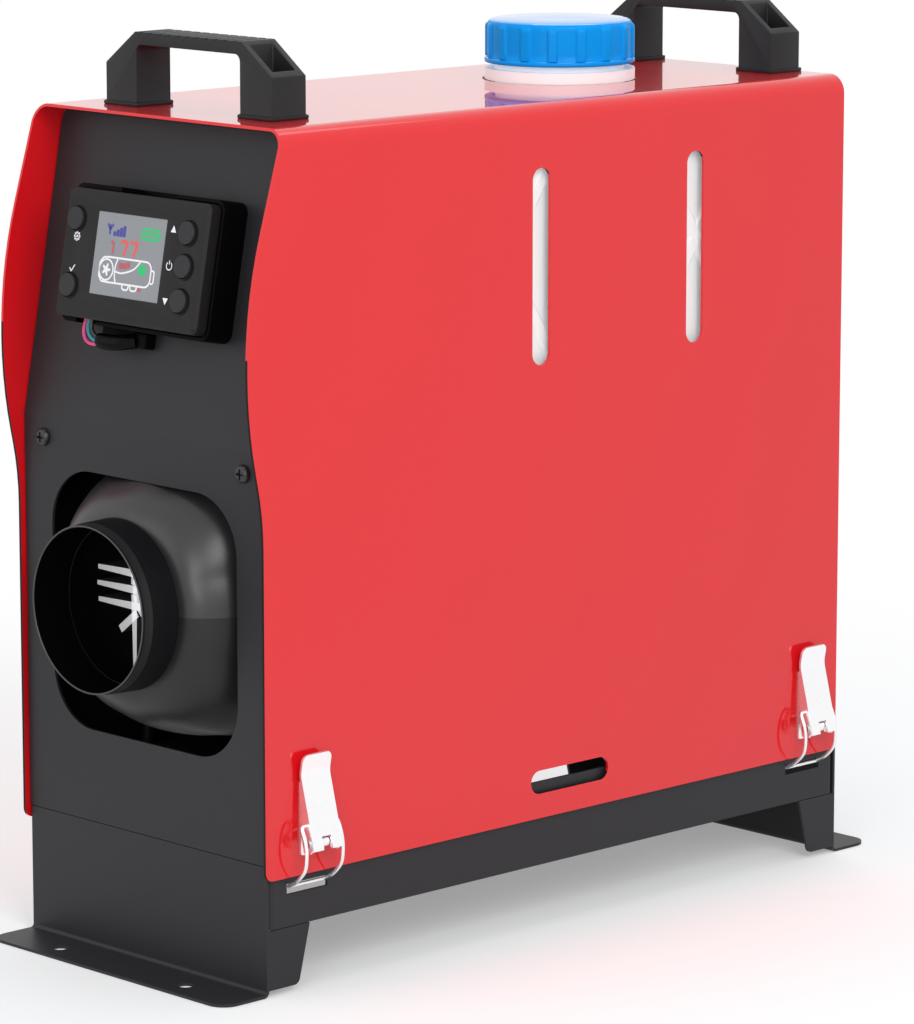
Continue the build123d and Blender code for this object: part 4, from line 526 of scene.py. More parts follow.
# Each finish: the material's name, its colour or the colour property that holds it, and what differs from plain.
RECIPES = {
    # painted and plated metal
    "gloss_red": dict(
        name="gloss_red_paint", colour="cover", rough=(0.30, 0.36), fine=520, wide=26, share=0.35, drift=0.03,
        depth=0.00012, coat_weight=1.0, coat_rough=0.02, specular=0.1),
    "powder_black": dict(
        name="charcoal_powder_coat", colour="steel_paint", rough=(0.40, 0.52), fine=1500, wide=14, share=0.8,
        drift=0.08, bump=0.16, depth=0.00012, specular=0.28),
    "latch_paint": dict(
        name="nickel_latch_plate", colour="latch", rough=(0.26, 0.34), fine=1400, wide=60, share=0.6, drift=0.04,
        bump=0.008, metal=0.85),
    "pale_wire": dict(PLATED, name="nickel_bail_wire", colour=(0.90, 0.90, 0.92), rough=(0.20, 0.30), drift=0.1,
                      bump=0.008, metal=0.8),
    "zinc": dict(PLATED, name="zinc_plate", colour=(0.62, 0.63, 0.65), rough=(0.24, 0.38), metal=1.0),
    "black_zinc": dict(PLATED, name="black_zinc_screw", colour=(0.05, 0.05, 0.055), rough=(0.26, 0.38), wide=80,
                       metal=0.7),
    "stainless": dict(PLATED, name="stainless_steel", colour=(0.55, 0.54, 0.52), rough=(0.22, 0.36), fine=500,
                      wide=70, drift=0.10, bump=0.04, metal=1.0),
    "cast": dict(CAST, name="cast_aluminium", colour=(0.80, 0.80, 0.81), rough=(0.34, 0.52), fine=1400, share=0.6,
                 drift=0.10, bump=0.16, metal=0.75),
    # One cast metal lit and shaded by paint: the fins' fronts glow with their own colour as painted light, their sides
    # are painted dark as shade.
    "fins": dict(CAST, name="fins_painted_glow", colour=(0.92, 0.92, 0.93), rough=(0.40, 0.55), fine=1500, wide=160,
                 bump=0.22, metal=0.2, glow=0.18),
    "fin_sides": dict(CAST, name="fin_sides_painted_shade", colour=(0.06, 0.06, 0.062), rough=(0.5, 0.65), fine=1200,
                      specular=0.2),
    # mouldings
    "black_moulding": dict(DUCT, name="black_moulded_plastic", colour="moulding", rough=(0.34, 0.46), fine=1300,
                           share=0.75),
    "grip": dict(
        name="handle_plastic", colour="moulding", rough=(0.42, 0.54), fine=1100, wide=30, share=0.8, drift=0.1,
        bump=0.16, depth=0.00015, specular=0.3),
    "blue_cap": dict(
        name="blue_cap_plastic", colour="cap", rough=(0.30, 0.38), fine=800, wide=40, share=0.6, drift=0.05,
        bump=0.03, specular=0.12, coat_weight=1.0, coat_rough=0.04, top_gloss=True),
    # glow is painted light: the milky tank lights itself with its own colour, standing in for light through the
    # plastic.
    "tank": dict(
        name="milky_tank_painted_glow", colour="tank", rough=(0.35, 0.45), fine=600, wide=20, share=0.5, drift=0.05,
        bump=0.06, subsurface=0.3, subsurface_radius=0.006, glow=0.16),
    # Lit and shaded copies of one duct plastic: the lower half of the dome is painted darker as shade.
    "dome": dict(DUCT, name="dark_grey_duct_plastic", colour=(0.021, 0.021, 0.0225), rough=(0.30, 0.40),
                 specular=0.6),
    "dome_under": dict(DUCT, name="lower_duct_painted_shade", colour=(0.0145, 0.0145, 0.0155), rough=(0.34, 0.44),
                       specular=0.35),
    "spigot": dict(
        name="black_spigot_plastic", colour=(0.007, 0.007, 0.008), rough=(0.44, 0.56), fine=1300, wide=22,
        drift=0.08, bump=0.06, depth=0.0001, specular=0.08),
    # Lip and band are painted lighter as highlight where the mouth's edge and chamfer catch light, the band also
    # smoother; the bore is painted near black as shade inside the tube.
    "spigot_lip": dict(SMOOTH, name="lip_painted_highlight", colour=(0.055, 0.055, 0.057), specular=0.4),
    "spigot_band": dict(SMOOTH, name="smooth_band_painted_highlight", colour=(0.016, 0.016, 0.017), specular=0.25),
    "spigot_bore": dict(SMOOTH, name="bore_painted_shade", colour=(0.0022, 0.0022, 0.0024), rough=(0.6, 0.7), specular=0.0),
    "clear_filter": dict(
        name="filter_body", colour=(0.75, 0.73, 0.62), rough=(0.2, 0.3), fine=600, wide=60, share=0.5, bump=0.03,
        subsurface=0.3),
    # rubber, hoses and wires
    "rubber": dict(
        name="black_rubber", colour=(0.015, 0.015, 0.016), rough=(0.55, 0.7), fine=1100, wide=40, drift=0.1,
        bump=0.10),
    "hose": dict(
        name="dark_green_fuel_hose", colour=(0.008, 0.016, 0.010), rough=(0.35, 0.45), fine=700, wide=60, share=0.6,
        drift=0.12),
    "wire_pink": dict(WIRE, name="pink_wire", colour=(0.72, 0.06, 0.22)),
    "wire_teal": dict(WIRE, name="teal_wire", colour=(0.02, 0.26, 0.30)),
    "wire_black": dict(WIRE, name="black_wire", colour=(0.02, 0.02, 0.022), rough=(0.22, 0.32)),
    "sleeving": dict(
        name="glossy_sleeving", colour=(0.002, 0.002, 0.0024), rough=(0.34, 0.40), fine=700, wide=120, bump=0.02,
        specular=0.02, coat_weight=0.15, coat_rough=0.05),
    # controller
    "controller": dict(SATIN, name="controller_shell", colour=(0.0118, 0.0113, 0.0124), rough=(0.46, 0.58),
                       fine=1800, bump=0.14, specular=0.22),
    "cradle": dict(SATIN, name="cradle_plastic", colour=(0.0025, 0.0025, 0.003), rough=(0.36, 0.48), specular=0.04),
    "button": dict(SATIN, name="button_rubber", colour=(0.024, 0.024, 0.026), rough=(0.44, 0.54), wide=80,
                   specular=0.25),
    # painted shadow for the gaps beside the buttons
    "shadow_gap": dict(WIRE, name="painted_shadow_gap", colour=(0.003, 0.003, 0.003), rough=(0.6, 0.7), drift=0.1,
                       specular=0.1),
    "screen": dict(
        name="screen_glass", colour="screen", rough=(0.12, 0.18), fine=500, wide=30, share=0.3, drift=0.10,
        bump=0.01, coat_weight=0.6, coat_rough=0.05),
    "board": dict(
        name="green_circuit_board", colour=(0.01, 0.09, 0.03), rough=(0.3, 0.4), wide=60, share=0.5, drift=0.2),
    # The printed white signs on the face glow with their own colour: painted light. The screen's signs glow as well.
    "sign_white": dict(SIGN, name="white_ink_painted_glow", colour=(0.80, 0.80, 0.82), rough=(0.4, 0.5), drift=0.04,
                       glow=0.15),
    "sign_blue": dict(SIGN, name="blue_violet_sign", colour=(0.045, 0.045, 0.30), glow=0.1),
    "sign_green": dict(SIGN, name="green_sign", colour=(0.01, 0.42, 0.13), glow=0.3),
    "sign_red": dict(SIGN, name="red_sign", colour=(0.66, 0.09, 0.075), glow=0.2),
    "sign_rose": dict(SIGN, name="rose_sign", colour=(0.44, 0.10, 0.12), glow=0.1),
}
FINISHES = {}


def finish(key):
    """The finish of that name, made when it is first asked for."""
    if key not in FINISHES:
        recipe = dict(RECIPES[key])
        if isinstance(recipe["colour"], str):
            recipe["colour"] = getattr(bpy.context.scene.heater_colours, recipe["colour"])
        # the red cover gets painted shade on its inner side and its low front edge
        if key == "gloss_red":
            recipe["inside"] = cover_inside()
        FINISHES[key] = finish_material(**recipe)
    return FINISHES[key]


# ------------------------------------------------------------------ controller's face

TILT = math.radians(10.5)       # lean of the front panel
UP_PANEL = np.array((0.0, math.sin(TILT), math.cos(TILT)))
OUT_PANEL = np.array((0.0, -math.cos(TILT), math.sin(TILT)))
GLASS = (-0.34, -0.27)          # levels of a sign on the screen, out from the controller's face, mm
FACE = (-0.04, 0.03)            # levels of a sign printed on the face, mm
GLASS_HALF = 16.475 * MM        # half the height of the screen's glass, along the panel
GEAR = (-34.2, 6.3)             # middle of the gear sign, mm
FAN = (-14.4, -5.2)             # middle of the fan on the screen, mm
BUSH = (-3.5, -31.4)            # middle of the lead's bush, mm


def on_face(x, up, out):
    """Point from its place on the controller in millimetres: x to the right and up the panel from its middle, and out
    from its face. The screen's box gives the place: its front is the glass's lower edge, its top the upper edge."""
    low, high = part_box("controller_screen")
    glass = np.array(((low[0] + high[0]) / 2, low[1] + math.sin(TILT) * GLASS_HALF,
                      high[2] - math.cos(TILT) * GLASS_HALF))
    middle = glass + np.array((2.1 * MM, 0, 0)) - UP_PANEL * 1.0 * MM + OUT_PANEL * 0.3 * MM
    x, up, out = (np.asarray(v, float)[..., None] * MM for v in (x, up, out))
    return middle + x * np.array((1.0, 0.0, 0.0)) + up * UP_PANEL + out * OUT_PANEL


def levelled(line, level):
    """Points of a line of (x, up) on the face, all at one level out from it."""
    return on_face(line[:, 0], line[:, 1], level)


def stroke(path, width, levels=GLASS, loop=False):
    """Flat stroke: a path of (x, up) in millimetres widened by half the width along its normals to both sides, between
    two levels out from the face."""
    path = np.array(path, float)
    ahead = np.roll(path, -1, axis=0) - np.roll(path, 1, axis=0) if loop else np.gradient(path, axis=0)
    ahead /= np.linalg.norm(ahead, axis=1)[:, None]
    side = np.stack((-ahead[:, 1], ahead[:, 0]), axis=1) * width / 2
    low, high = levels
    rings = [levelled(line, level)
             for line, level in ((path + side, low), (path + side, high), (path - side, high), (path - side, low))]
    return closed(surface("stroke", np.stack(rings, axis=1), wrap_u=loop, wrap_v=True, cap_start=not loop,
                          cap_end=not loop))


def patch(outline, levels=GLASS):
    """Flat patch: a closed outline of (x, up) in millimetres between two levels out from the face."""
    outline = np.array(outline, float)
    return block("patch", [levelled(outline, level) for level in levels])


def arc(centre, radius, start, stop, steps=24):
    """Part of a circle about a centre, between two angles in degrees."""
    a = np.radians(np.linspace(start, stop, steps))
    return np.stack((centre[0] + radius * np.cos(a), centre[1] + radius * np.sin(a)), axis=1)


def lobed(centre, radius, swing, lobes, count):
    """Closed outline round a centre: the reach is the radius plus swing(cos(lobes times the angle))."""
    a = np.linspace(0, 2 * math.pi, count + 1)[:-1]
    reach = radius + swing(np.cos(lobes * a))
    return np.stack((centre[0] + reach * np.cos(a), centre[1] + reach * np.sin(a)), axis=1)


def moved(outline, x, up):
    """An outline shifted on the face."""
    return np.array(outline, float) + np.array((x, up))


def face_signs():
    """White signs beside the buttons: two triangles, a power sign, a gear and a tick."""
    out = []
    for x, up, way in ((23.1, 14.1, 1), (23.3, -14.2, -1)):
        corners = [(x - 1.6 * way, up - 1.2 * way), (x + 1.6 * way, up - 1.2 * way), (x, up + 1.5 * way)]
        out.append(patch(corners, FACE))
    out.append(stroke(arc((23.1, -0.3), 1.6, 125, 415), 0.42, FACE))
    out.append(stroke([(23.1, 0.3), (23.1, 1.1), (23.1, 1.9)], 0.42, FACE))
    out.append(stroke(lobed(GEAR, 1.45, lambda wave: 0.32 * np.tanh(5 * wave), 8, 96), 0.36, FACE, loop=True))
    out.append(patch(moved(circle(0.5, 20), *GEAR), FACE))
    out.append(stroke(filleted([(-36.3, -6.5), (-35.2, -7.8), (-33.3, -5.1)], [0.15], 6), 0.48, FACE))
    return [painted(mesh, finish("sign_white")) for mesh in out]


def screen_signs():
    """Picture on the screen: signal bars, battery, a reading, and the outline of a heater with its fan and pipes."""
    blue, green, red, rose, white = [], [], [], [], []
    # signal bars with their mast
    blue.append(stroke([(-14.9, 8.8), (-14.9, 11.0), (-14.9, 12.9)], 0.9))
    blue.append(stroke(filleted([(-16.6, 13.0), (-14.9, 10.6), (-13.2, 13.0)], [0.3], 6), 0.9))
    for k in range(4):
        bar = rounded_rectangle(1.7, 1.9 + 0.85 * k, 0.3, 2)
        blue.append(patch(moved(bar, -11.9 + 1.9 * k, 9.3 + 0.42 * k)))
    # battery
    green.append(stroke(moved(rounded_rectangle(10.2, 4.0, 1.2), 9.7, 10.7), 1.0, loop=True))
    green.append(patch(moved(rounded_rectangle(0.9, 1.6, 0.3, 3), 15.6, 10.7)))
    for k in range(3):
        green.append(patch(moved(rounded_rectangle(2.4, 1.6, 0.2, 2), 6.7 + 3.0 * k, 10.7)))
    # reading
    rose.append(stroke(filleted([(-13.1, 5.6), (-11.7, 7.2), (-11.7, 1.0)], [0.8], 5), 1.3))
    for x in (-7.6, -1.6):
        seven = [(x, 6.6), (x + 4.9, 6.6), (x + 2.9, 3.2), (x + 2.5, 0.9)]
        red.append(stroke(filleted(seven, [1.0, 2.5], 8), 1.35))
    band = smooth_path([(-7.2, -2.9), (-4.8, -3.1), (-2.4, -2.7), (-0.4, -1.9)], 8)
    rose.append(stroke(band, 2.4, (GLASS[0], GLASS[1] - 0.02)))
    rose.append(patch(moved(circle(1.0, 20) * (1.1, 0.8), 6.8, -11.4)))
    # heater: its body, fan, inner lines, outlet and two pipes
    fan_end = [(-13.0, -10.1), (-16.6, -10.0), (-18.6, -7.8), (-18.6, -2.6), (-16.6, -0.4), (-13.0, -0.1)]
    body = np.vstack((arc((9.3, -3.3), 3.2, 90, 0, 10), arc((9.3, -6.9), 3.2, 0, -90, 10),
                      filleted(fan_end, [1.6, 2.2, 2.2, 1.6], 5)))
    white.append(stroke(body, 0.75, loop=True))
    white.append(stroke(moved(circle(4.15, 40), *FAN), 0.7, loop=True))
    white.append(patch(lobed(FAN, 1.85, lambda wave: 0.75 * wave, 5, 120)))
    for line in ([(-8.0, -0.5), (-9.0, -3.0), (-9.1, -5.9), (-8.8, -8.0), (-8.1, -9.7)],
                 [(-9.0, -5.5), (-5.6, -5.9), (-2.6, -5.4), (0.6, -4.4), (3.1, -3.0), (5.6, -0.5)]):
        white.append(stroke(smooth_path(line, 8), 0.7))
    white.append(stroke(filleted([(12.7, -3.3), (14.5, -3.3), (14.5, -8.3), (12.7, -8.3)], [0.8, 0.8], 6), 0.7))
    for x in (-3.7, 1.2):
        pipe = [(x, -10.4), (x, -12.2), (x + 3.8, -12.2), (x + 3.8, -10.4)]
        white.append(stroke(filleted(pipe, [1.2, 1.2], 6), 0.75))
    green.append(patch(moved(circle(2.4, 28) * (1.0, 0.95), 7.1, -3.6)))
    return [painted(mesh, finish(key)) for meshes, key in (
        (blue, "sign_blue"), (green, "sign_green"), (red, "sign_red"), (rose, "sign_rose"), (white, "sign_white"))
        for mesh in meshes]


def button_gap_shadows():
    """Painted shadow: dark crescents on the face at the right of the buttons, standing in for the shade at the buttons'
    sides; their width falls with the cosine of the angle from the right, from a full width to nothing above and below
    the button."""
    clearance, full_width, top, bottom = 0.06, 1.15, 0.03, -0.05
    out = []
    origin = on_face(0, 0, 0)
    turn = np.radians(np.linspace(-88, 88, 30))
    ray = np.stack((np.cos(turn), np.sin(turn)), axis=1)
    for name in ("up", "power", "down", "settings", "confirm"):
        low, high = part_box("button_" + name)
        middle = (np.array(low) + np.array(high)) / 2 - origin
        spot = np.array((middle[0], float(middle @ UP_PANEL))) / MM
        radius = (high[0] - low[0]) / 2 / MM + clearance
        inner, outer = radius * ray, (radius + full_width * np.cos(turn))[:, None] * ray
        rings = [levelled(line + spot, level)
                 for line, level in ((inner, top), (outer, top), (outer, bottom), (inner, bottom))]
        out.append(painted(closed(surface("gap", np.stack(rings), wrap_u=True)), finish("shadow_gap")))
    return out


# Each wire: where it runs on the face, in millimetres. All sink away from the face in the same way.
WIRE_RUNS = {
    "wire_pink": ((-30.0, -24.6), (-31.0, -28.6), (-31.0, -32.4), (-28.6, -35.4), (-24.4, -35.6), (-21.5, -35.2)),
    "wire_teal": ((-28.2, -24.6), (-28.9, -28.4), (-28.2, -31.6), (-25.6, -33.8), (-22.5, -34.2), (-21.0, -34.2)),
    "wire_black": ((-26.6, -24.6), (-26.9, -28.0), (-26.2, -30.4), (-24.2, -32.2), (-22.0, -32.8), (-20.5, -32.9)),
}
WIRE_LEVELS = np.array((-7.0, -7.0, -7.2, -7.6, -8.0, -8.2))
WIRE_RADIUS = 0.8 * MM
SLEEVE_RUN = ((-23.2, -33.4, -8.0), (-19.0, -33.9, -8.0), (-14.5, -33.8, -8.8), (-10.0, -33.1, -10.4),
              (-5.8, -31.8, -13.0))


def lead_pieces():
    """Three wires that bow out of the housing into a flattened round sleeve: an ellipse carried along its path, a
    quarter smaller at the start."""
    wires = [painted(tube(key, spline(levelled(np.array(run), WIRE_LEVELS)), WIRE_RADIUS, 14), finish(key))
             for key, run in WIRE_RUNS.items()]
    wide, thick = 3.2 * MM, 1.9 * MM
    path = on_face(*smooth_path(SLEEVE_RUN, 8).T)
    ahead = np.gradient(path, axis=0)
    ahead /= np.linalg.norm(ahead, axis=1)[:, None]
    side = np.cross(ahead, OUT_PANEL)
    side /= np.linalg.norm(side, axis=1)[:, None]
    deep = np.cross(side, ahead)
    a = np.linspace(0, 2 * math.pi, 24, endpoint=False)[None, :, None]
    ease = (1 - 0.25 * np.exp(-np.linspace(0, 14, len(path))))[:, None, None]
    grid = path[:, None] + ease * (wide * np.cos(a) * side[:, None] + thick * np.sin(a) * deep[:, None])
    return wires, painted(block("sleeve", grid, 50), finish("sleeving"))


def bush_mesh():
    """Square bush with softened corners, on the panel under the controller: an outline that shrinks near its front."""
    outline = moved(rounded_rectangle(8.0, 6.4, 0.9, 4), *BUSH)
    rings = [levelled((outline - BUSH) * (1 - inset / 3.6) + BUSH, level)
             for level, inset in ((-17.8, 0.0), (-13.5, 0.0), (-12.9, 0.25), (-12.7, 0.8))]
    return painted(block("bush", rings), finish("cradle"))


# ------------------------------------------------------------------ hot-air end

AXIS_Z = 0.150                  # height of the duct's axis
DOME_DEPTH = 46.6 * MM          # from the casing's front to where the dome ends and the solid goes on
TUBE_REACH = 34.8 * MM          # radius of the dome where it meets the tube
CASING = (110 * MM, 114 * MM, 38 * MM)      # width, height and corner radius of the dome's rear
WALL = 2.5 * MM
LAP = 0.3 * MM                  # how far the lower half of the dome stands outside the upper


def section_reach(width, height, corner, angles):
    """Reach of a rounded rectangle from its middle at each angle."""
    outline = rounded_rectangle(width, height, corner, 24)
    a = np.arctan2(outline[:, 1], outline[:, 0]) % (2 * math.pi)
    order = np.argsort(a)
    return np.interp(angles, a[order], np.hypot(*outline.T)[order], period=2 * math.pi)


def dome_half(upper, swell, step=0.0):
    """Half of the bulged outlet end between the tube and the casing. From the tube's round to the casing's rounded
    square the section grows with sin(quarter turn)^swell, a little slower towards the top, so it opens fast and then
    runs level. A step sets the half further out, as the lower one laps the upper."""
    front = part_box("outlet_spigot")[1][1] - 4.5 * MM
    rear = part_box("upper_casing")[0][1] + DOME_DEPTH
    angles = np.linspace(0, math.pi, 73) + (0 if upper else math.pi)
    u = np.linspace(0, 1, 30) ** 2
    ease = swell + 0.17 * np.clip(np.sin(angles), 0, 1)[:, None] ** 2
    grown = np.sin(u * math.pi / 2)[None] ** ease
    width, height, corner = CASING
    lines = []
    for inset, order in ((-step, slice(None)), (WALL, slice(None, None, -1))):
        tube_reach = TUBE_REACH - max(inset, 0)
        full = section_reach(width - 2 * inset, height - 2 * inset, corner - inset, angles)
        reach = tube_reach + (full[:, None] - tube_reach) * grown[:, order]
        along = np.broadcast_to((front + (rear - front) * u)[order], reach.shape)
        across, up = reach * np.cos(angles)[:, None], AXIS_Z + reach * np.sin(angles)[:, None]
        lines.append(np.stack((across, along, up), axis=-1))
    return block("dome", np.concatenate(lines, axis=1), 45)


def cut_back(node, limit):
    """The solid's mesh without what lies in front of a plane y = limit."""
    mesh = merged_copy(node)
    work = bmesh.new()
    work.from_mesh(mesh)
    whole = work.verts[:] + work.edges[:] + work.faces[:]
    bmesh.ops.bisect_plane(work, geom=whole, plane_co=(0, limit, 0), plane_no=(0, -1, 0), clear_outer=True)
    bmesh.ops.holes_fill(work, edges=[e for e in work.edges if e.is_boundary])
    work.to_mesh(mesh)
    work.free()
    return mesh


HUB_RADIUS, FIN_REACH = 13.5, 35.6          # mm
FIN_ROOT, FIN_TIP = 1.7, 0.95               # half the thickness of a fin at its root and tip, mm
SIDE_FINS = (-6.7, 0.0, 6.7)                # how far off the middle the fins of a side are, mm
UPRIGHT_FINS = (-12.7, -6.6, 0.0, 6.6, 12.7)
DIAGONAL_FIN = ((10.0, 10.7), (20.6, 18.7), (22.6, 16.1), (12.0, 8.1))      # corners of the shorter fin, mm


def fin_nose():
    """Front end of the cast exchanger, seen through the mouth: a hub, three parallel tapering fins to each side, five
    up and five down, and a shorter fin on each diagonal."""
    y = (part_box("upper_casing")[0][1] + 13.0 * MM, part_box("heat_exchanger")[0][1] - 0.2 * MM)

    def place(a, b, c):
        return np.stack((a, np.full(len(a), c), AXIS_Z + 1.6 * MM + b), axis=1)

    meshes = [prism("hub", circle(HUB_RADIUS * MM, 48), place, y)]
    for turn in range(4):
        c, s = math.cos(turn * math.pi / 2), math.sin(turn * math.pi / 2)
        spin = np.array(((c, s), (-s, c)))
        for off in UPRIGHT_FINS if turn % 2 else SIDE_FINS:
            root, tip = math.sqrt(max(HUB_RADIUS**2 - off**2, 0)) - 2.5, math.sqrt(FIN_REACH**2 - off**2)
            fin = np.array([(root, off - FIN_ROOT), (tip, off - FIN_TIP), (tip, off + FIN_TIP), (root, off + FIN_ROOT)])
            meshes.append(prism("fin", fin * MM @ spin, place, y))
    for x, z in ((1, 1), (1, -1), (-1, 1), (-1, -1)):
        meshes.append(prism("fin", np.array(DIAGONAL_FIN) * (x * MM, z * MM), place, y))
    # faces that look along the duct get the painted glow, the fins' sides the painted shade
    return [zoned(mesh, ("fins", "fin_sides"), [abs(face.normal[1]) < 0.7 for face in mesh.polygons])
            for mesh in meshes]


# Outline of the spigot's tube in millimetres: how far behind its mouth, and the radius.
SPIGOT_PROFILE = ((0.3, 33.2), (0.0, 33.4), (0.0, 33.75), (0.3, 33.95), (1.2, 33.9), (3.8, 34.2), (5.0, 34.45),
                  (22.0, 35.0), (22.4, 32.6), (0.3, 33.2))


def spigot_tube():
    """Tube of the hot-air spigot with a thin lip and a long shallow chamfer outside its mouth. Lip, chamfer and bore
    have finishes of their own: a painted highlight on the lip and the chamfer's band, painted shade in the bore."""
    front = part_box("outlet_spigot")[0][1]
    mesh = lathe("spigot_tube", np.array(SPIGOT_PROFILE) * MM, (0, front, AXIS_Z), (0, 1, 0), count=128, sharp=30)
    middle = np.array([face.center[:] for face in mesh.polygons]) - (0, front, AXIS_Z)
    facing = np.array([face.normal[:] for face in mesh.polygons])
    depth = middle[:, 1] / MM
    away = np.hypot(middle[:, 0], middle[:, 2]) / MM
    inward = facing[:, 0] * middle[:, 0] + facing[:, 2] * middle[:, 2] < 0
    lip, band = depth < 0.5, (depth > 1.0) & (depth < 4.6) & (away > 33.6)
    return zoned(mesh, ("spigot", "spigot_lip", "spigot_band", "spigot_bore"),
                 np.where(lip, 1, np.where(band, 2, np.where(inward, 3, 0))))


# ------------------------------------------------------------------ screws and latches

SCREW_HEAD = 4.0 * MM           # radius of a panel screw's head
WIRE_START = 80.2 * MM          # where a bail's wire leaves its lever, from the case's middle
BAIL_WIRE = 0.8 * MM            # radius of the bail's wire


def cross_recess(x, face, z, way):
    """Cutter for a cross-slotted screw head: a plus sign carried from the head's face inwards."""
    long, thin = 2.1 * MM, 0.5 * MM
    plus = [(long, thin), (thin, thin), (thin, long), (-thin, long), (-thin, thin), (-long, thin), (-long, -thin),
            (-thin, -thin), (-thin, -long), (thin, -long), (thin, -thin), (long, -thin)]
    return prism("cross", plus, lambda a, b, c: np.stack((x + a, np.full(len(a), face - way * c), z + b), axis=1),
                 (-0.3 * MM, 1.3 * MM))


def corner_cutter(side, low, high, radius):
    """Cutter that rounds a lever's upper corner: the square over it less a quarter of a circle."""
    edge = low[1] if side < 0 else high[1]
    a = np.linspace(0, math.pi / 2, 9)
    round_part = [(edge - side * radius * (1 - math.cos(t)), high[2] - radius * (1 - math.sin(t))) for t in a]
    outline = round_part + [(edge - side * radius, high[2] + MM), (edge + side * MM, high[2] + MM),
                            (edge + side * MM, high[2] - radius)]
    return prism("corner", outline, lambda y, z, x: np.stack((np.full(len(y), x), y, z), axis=1),
                 (low[0] - MM, high[0] + MM))


def bail_mesh(node):
    """Wire bail whose legs bow out in one even curve from the lever to the slot, joined by the bar under it."""
    low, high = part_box(node)
    side = 1 if low[0] > 0 else -1
    wire = BAIL_WIRE
    near, far = (low[0], high[0]) if side > 0 else (high[0], low[0])
    start, hook, bow = side * WIRE_START, near + side * wire, far - side * wire
    front, rear, top, bottom = low[1] + wire, high[1] - wire, high[2] - wire, low[2] + wire
    half = [(start, front + 2.8 * MM, top),
            (start, front + 0.9 * MM, top),
            (start + side * 0.3 * MM, front, top - 0.9 * MM),
            (start + (bow - start) * 0.78, front, top - 6.0 * MM),
            (bow, front, top - 11.5 * MM),
            (start + (bow - start) * 0.62, front, top - 17.5 * MM),
            (start - side * 2.8 * MM, front, top - 22.5 * MM),
            (hook + side * 1.4 * MM, front, bottom + 0.8 * MM),
            (hook, front + 0.5 * MM, bottom),
            (hook, front + 2.5 * MM, bottom)]
    other = [(x, front + rear - y, z) for x, y, z in reversed(half)]
    return tube(node, smooth_path(half + other, 7), wire, 14)


# ------------------------------------------------------------------ tank and cap

# Bands on the tank's sides: a point on each (y, z) in millimetres and the way it rises, 1 to the rear.
TANK_CROSSES = ((-18.2, 306.0, 1), (-18.2, 256.5, -1), (72.6, 289.0, -1), (72.6, 273.5, 1))
BAND_SECTION = ((-4.2, -0.3), (-2.3, 0.85), (2.3, 0.85), (4.2, -0.3))       # across the band and out, mm
BAND_REACH = 40 * MM            # half a band's length
TANK_FLAT = 70.4 * MM           # the tank's sides without their ribs, from its middle
NECK_RING, SHOWN_RING = 344.2 * MM, 343.75 * MM     # underside of the neck's ring in the solid, and as shown here


def tank_mesh():
    """The tank without its plain ribs and with raised flat bands in wide crosses on both sides, as they show through
    the sight slots: each band is a strip between two slopes."""
    mesh = merged_copy("fuel_tank")
    points = np.array([v.co for v in mesh.vertices])
    points[:, 0] = np.clip(points[:, 0], -TANK_FLAT, TANK_FLAT)
    points[np.abs(points[:, 2] - NECK_RING) < 0.02 * MM, 2] = SHOWN_RING
    mesh.vertices.foreach_set("co", points.ravel())
    meshes = [mesh]
    for side in (-1, 1):
        for on_band_y, on_band_z, way in TANK_CROSSES:
            ahead = np.array((0.0, 1.0, way * 1.5)) / math.hypot(1.0, 1.5)
            across = np.array((0.0, -ahead[2], ahead[1]))
            middle = np.array((0.0, on_band_y * MM, on_band_z * MM))
            ends = [np.array([middle + ahead * reach + across * (w * MM) + np.array((side * (TANK_FLAT + h * MM), 0, 0))
                              for w, h in BAND_SECTION]) for reach in (-BAND_REACH, BAND_REACH)]
            meshes.append(block("band", ends, 30))
    return join("fuel_tank_shaped", meshes, 30)


# Outline of the cap in millimetres: the height over its lower edge, and the radius.
CAP_PROFILE = ((0.0, 28.8), (0.0, 31.7), (0.3, 32.0), (1.4, 32.0), (1.8, 31.8), (2.1, 31.1), (2.4, 30.8), (5.0, 30.8),
               (8.0, 30.8), (11.0, 30.8), (13.6, 30.8), (14.8, 30.8), (15.8, 30.8), (16.6, 30.65), (17.4, 30.2),
               (17.95, 29.5), (18.2, 28.6), (18.2, 13.0), (18.2, 0.0),
               (15.4, 0.0), (15.4, 20.0), (15.4, 28.2), (14.8, 28.8), (0.0, 28.8))
CAP_RIBS, RIB_TURN, RIB_HEIGHT = 16, 0.10, 1.0      # how many, turned by (radians), and how high (mm)


def cap_mesh():
    """Screw cap turned round its axis: a lip, a wall with grip ribs, a rounded shoulder, a flat top and a hollow
    inside. A rib's height follows a smooth step of cos(the ribs' number times the angle), faded out at both ends of
    the wall."""
    low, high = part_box("fuel_cap")
    middle = ((low[0] + high[0]) / 2, (low[1] + high[1]) / 2, low[2])

    def ribs(along, radius, angle):
        rise = np.clip((along / MM - 2.1) / 0.3, 0, 1) * np.clip((16.6 - along / MM) / 1.0, 0, 1)
        outer = (radius > 29.9 * MM) & (radius < 31.0 * MM)
        wave = np.cos(CAP_RIBS * (angle + RIB_TURN))
        return outer * rise * RIB_HEIGHT / 2 * MM * (1 + np.tanh(22 * (wave - 0.5)))

    return lathe("fuel_cap_shaped", np.array(CAP_PROFILE) * MM, middle, (0, 0, 1), count=384, turn=ribs, sharp=50)


# ------------------------------------------------------------------ stage


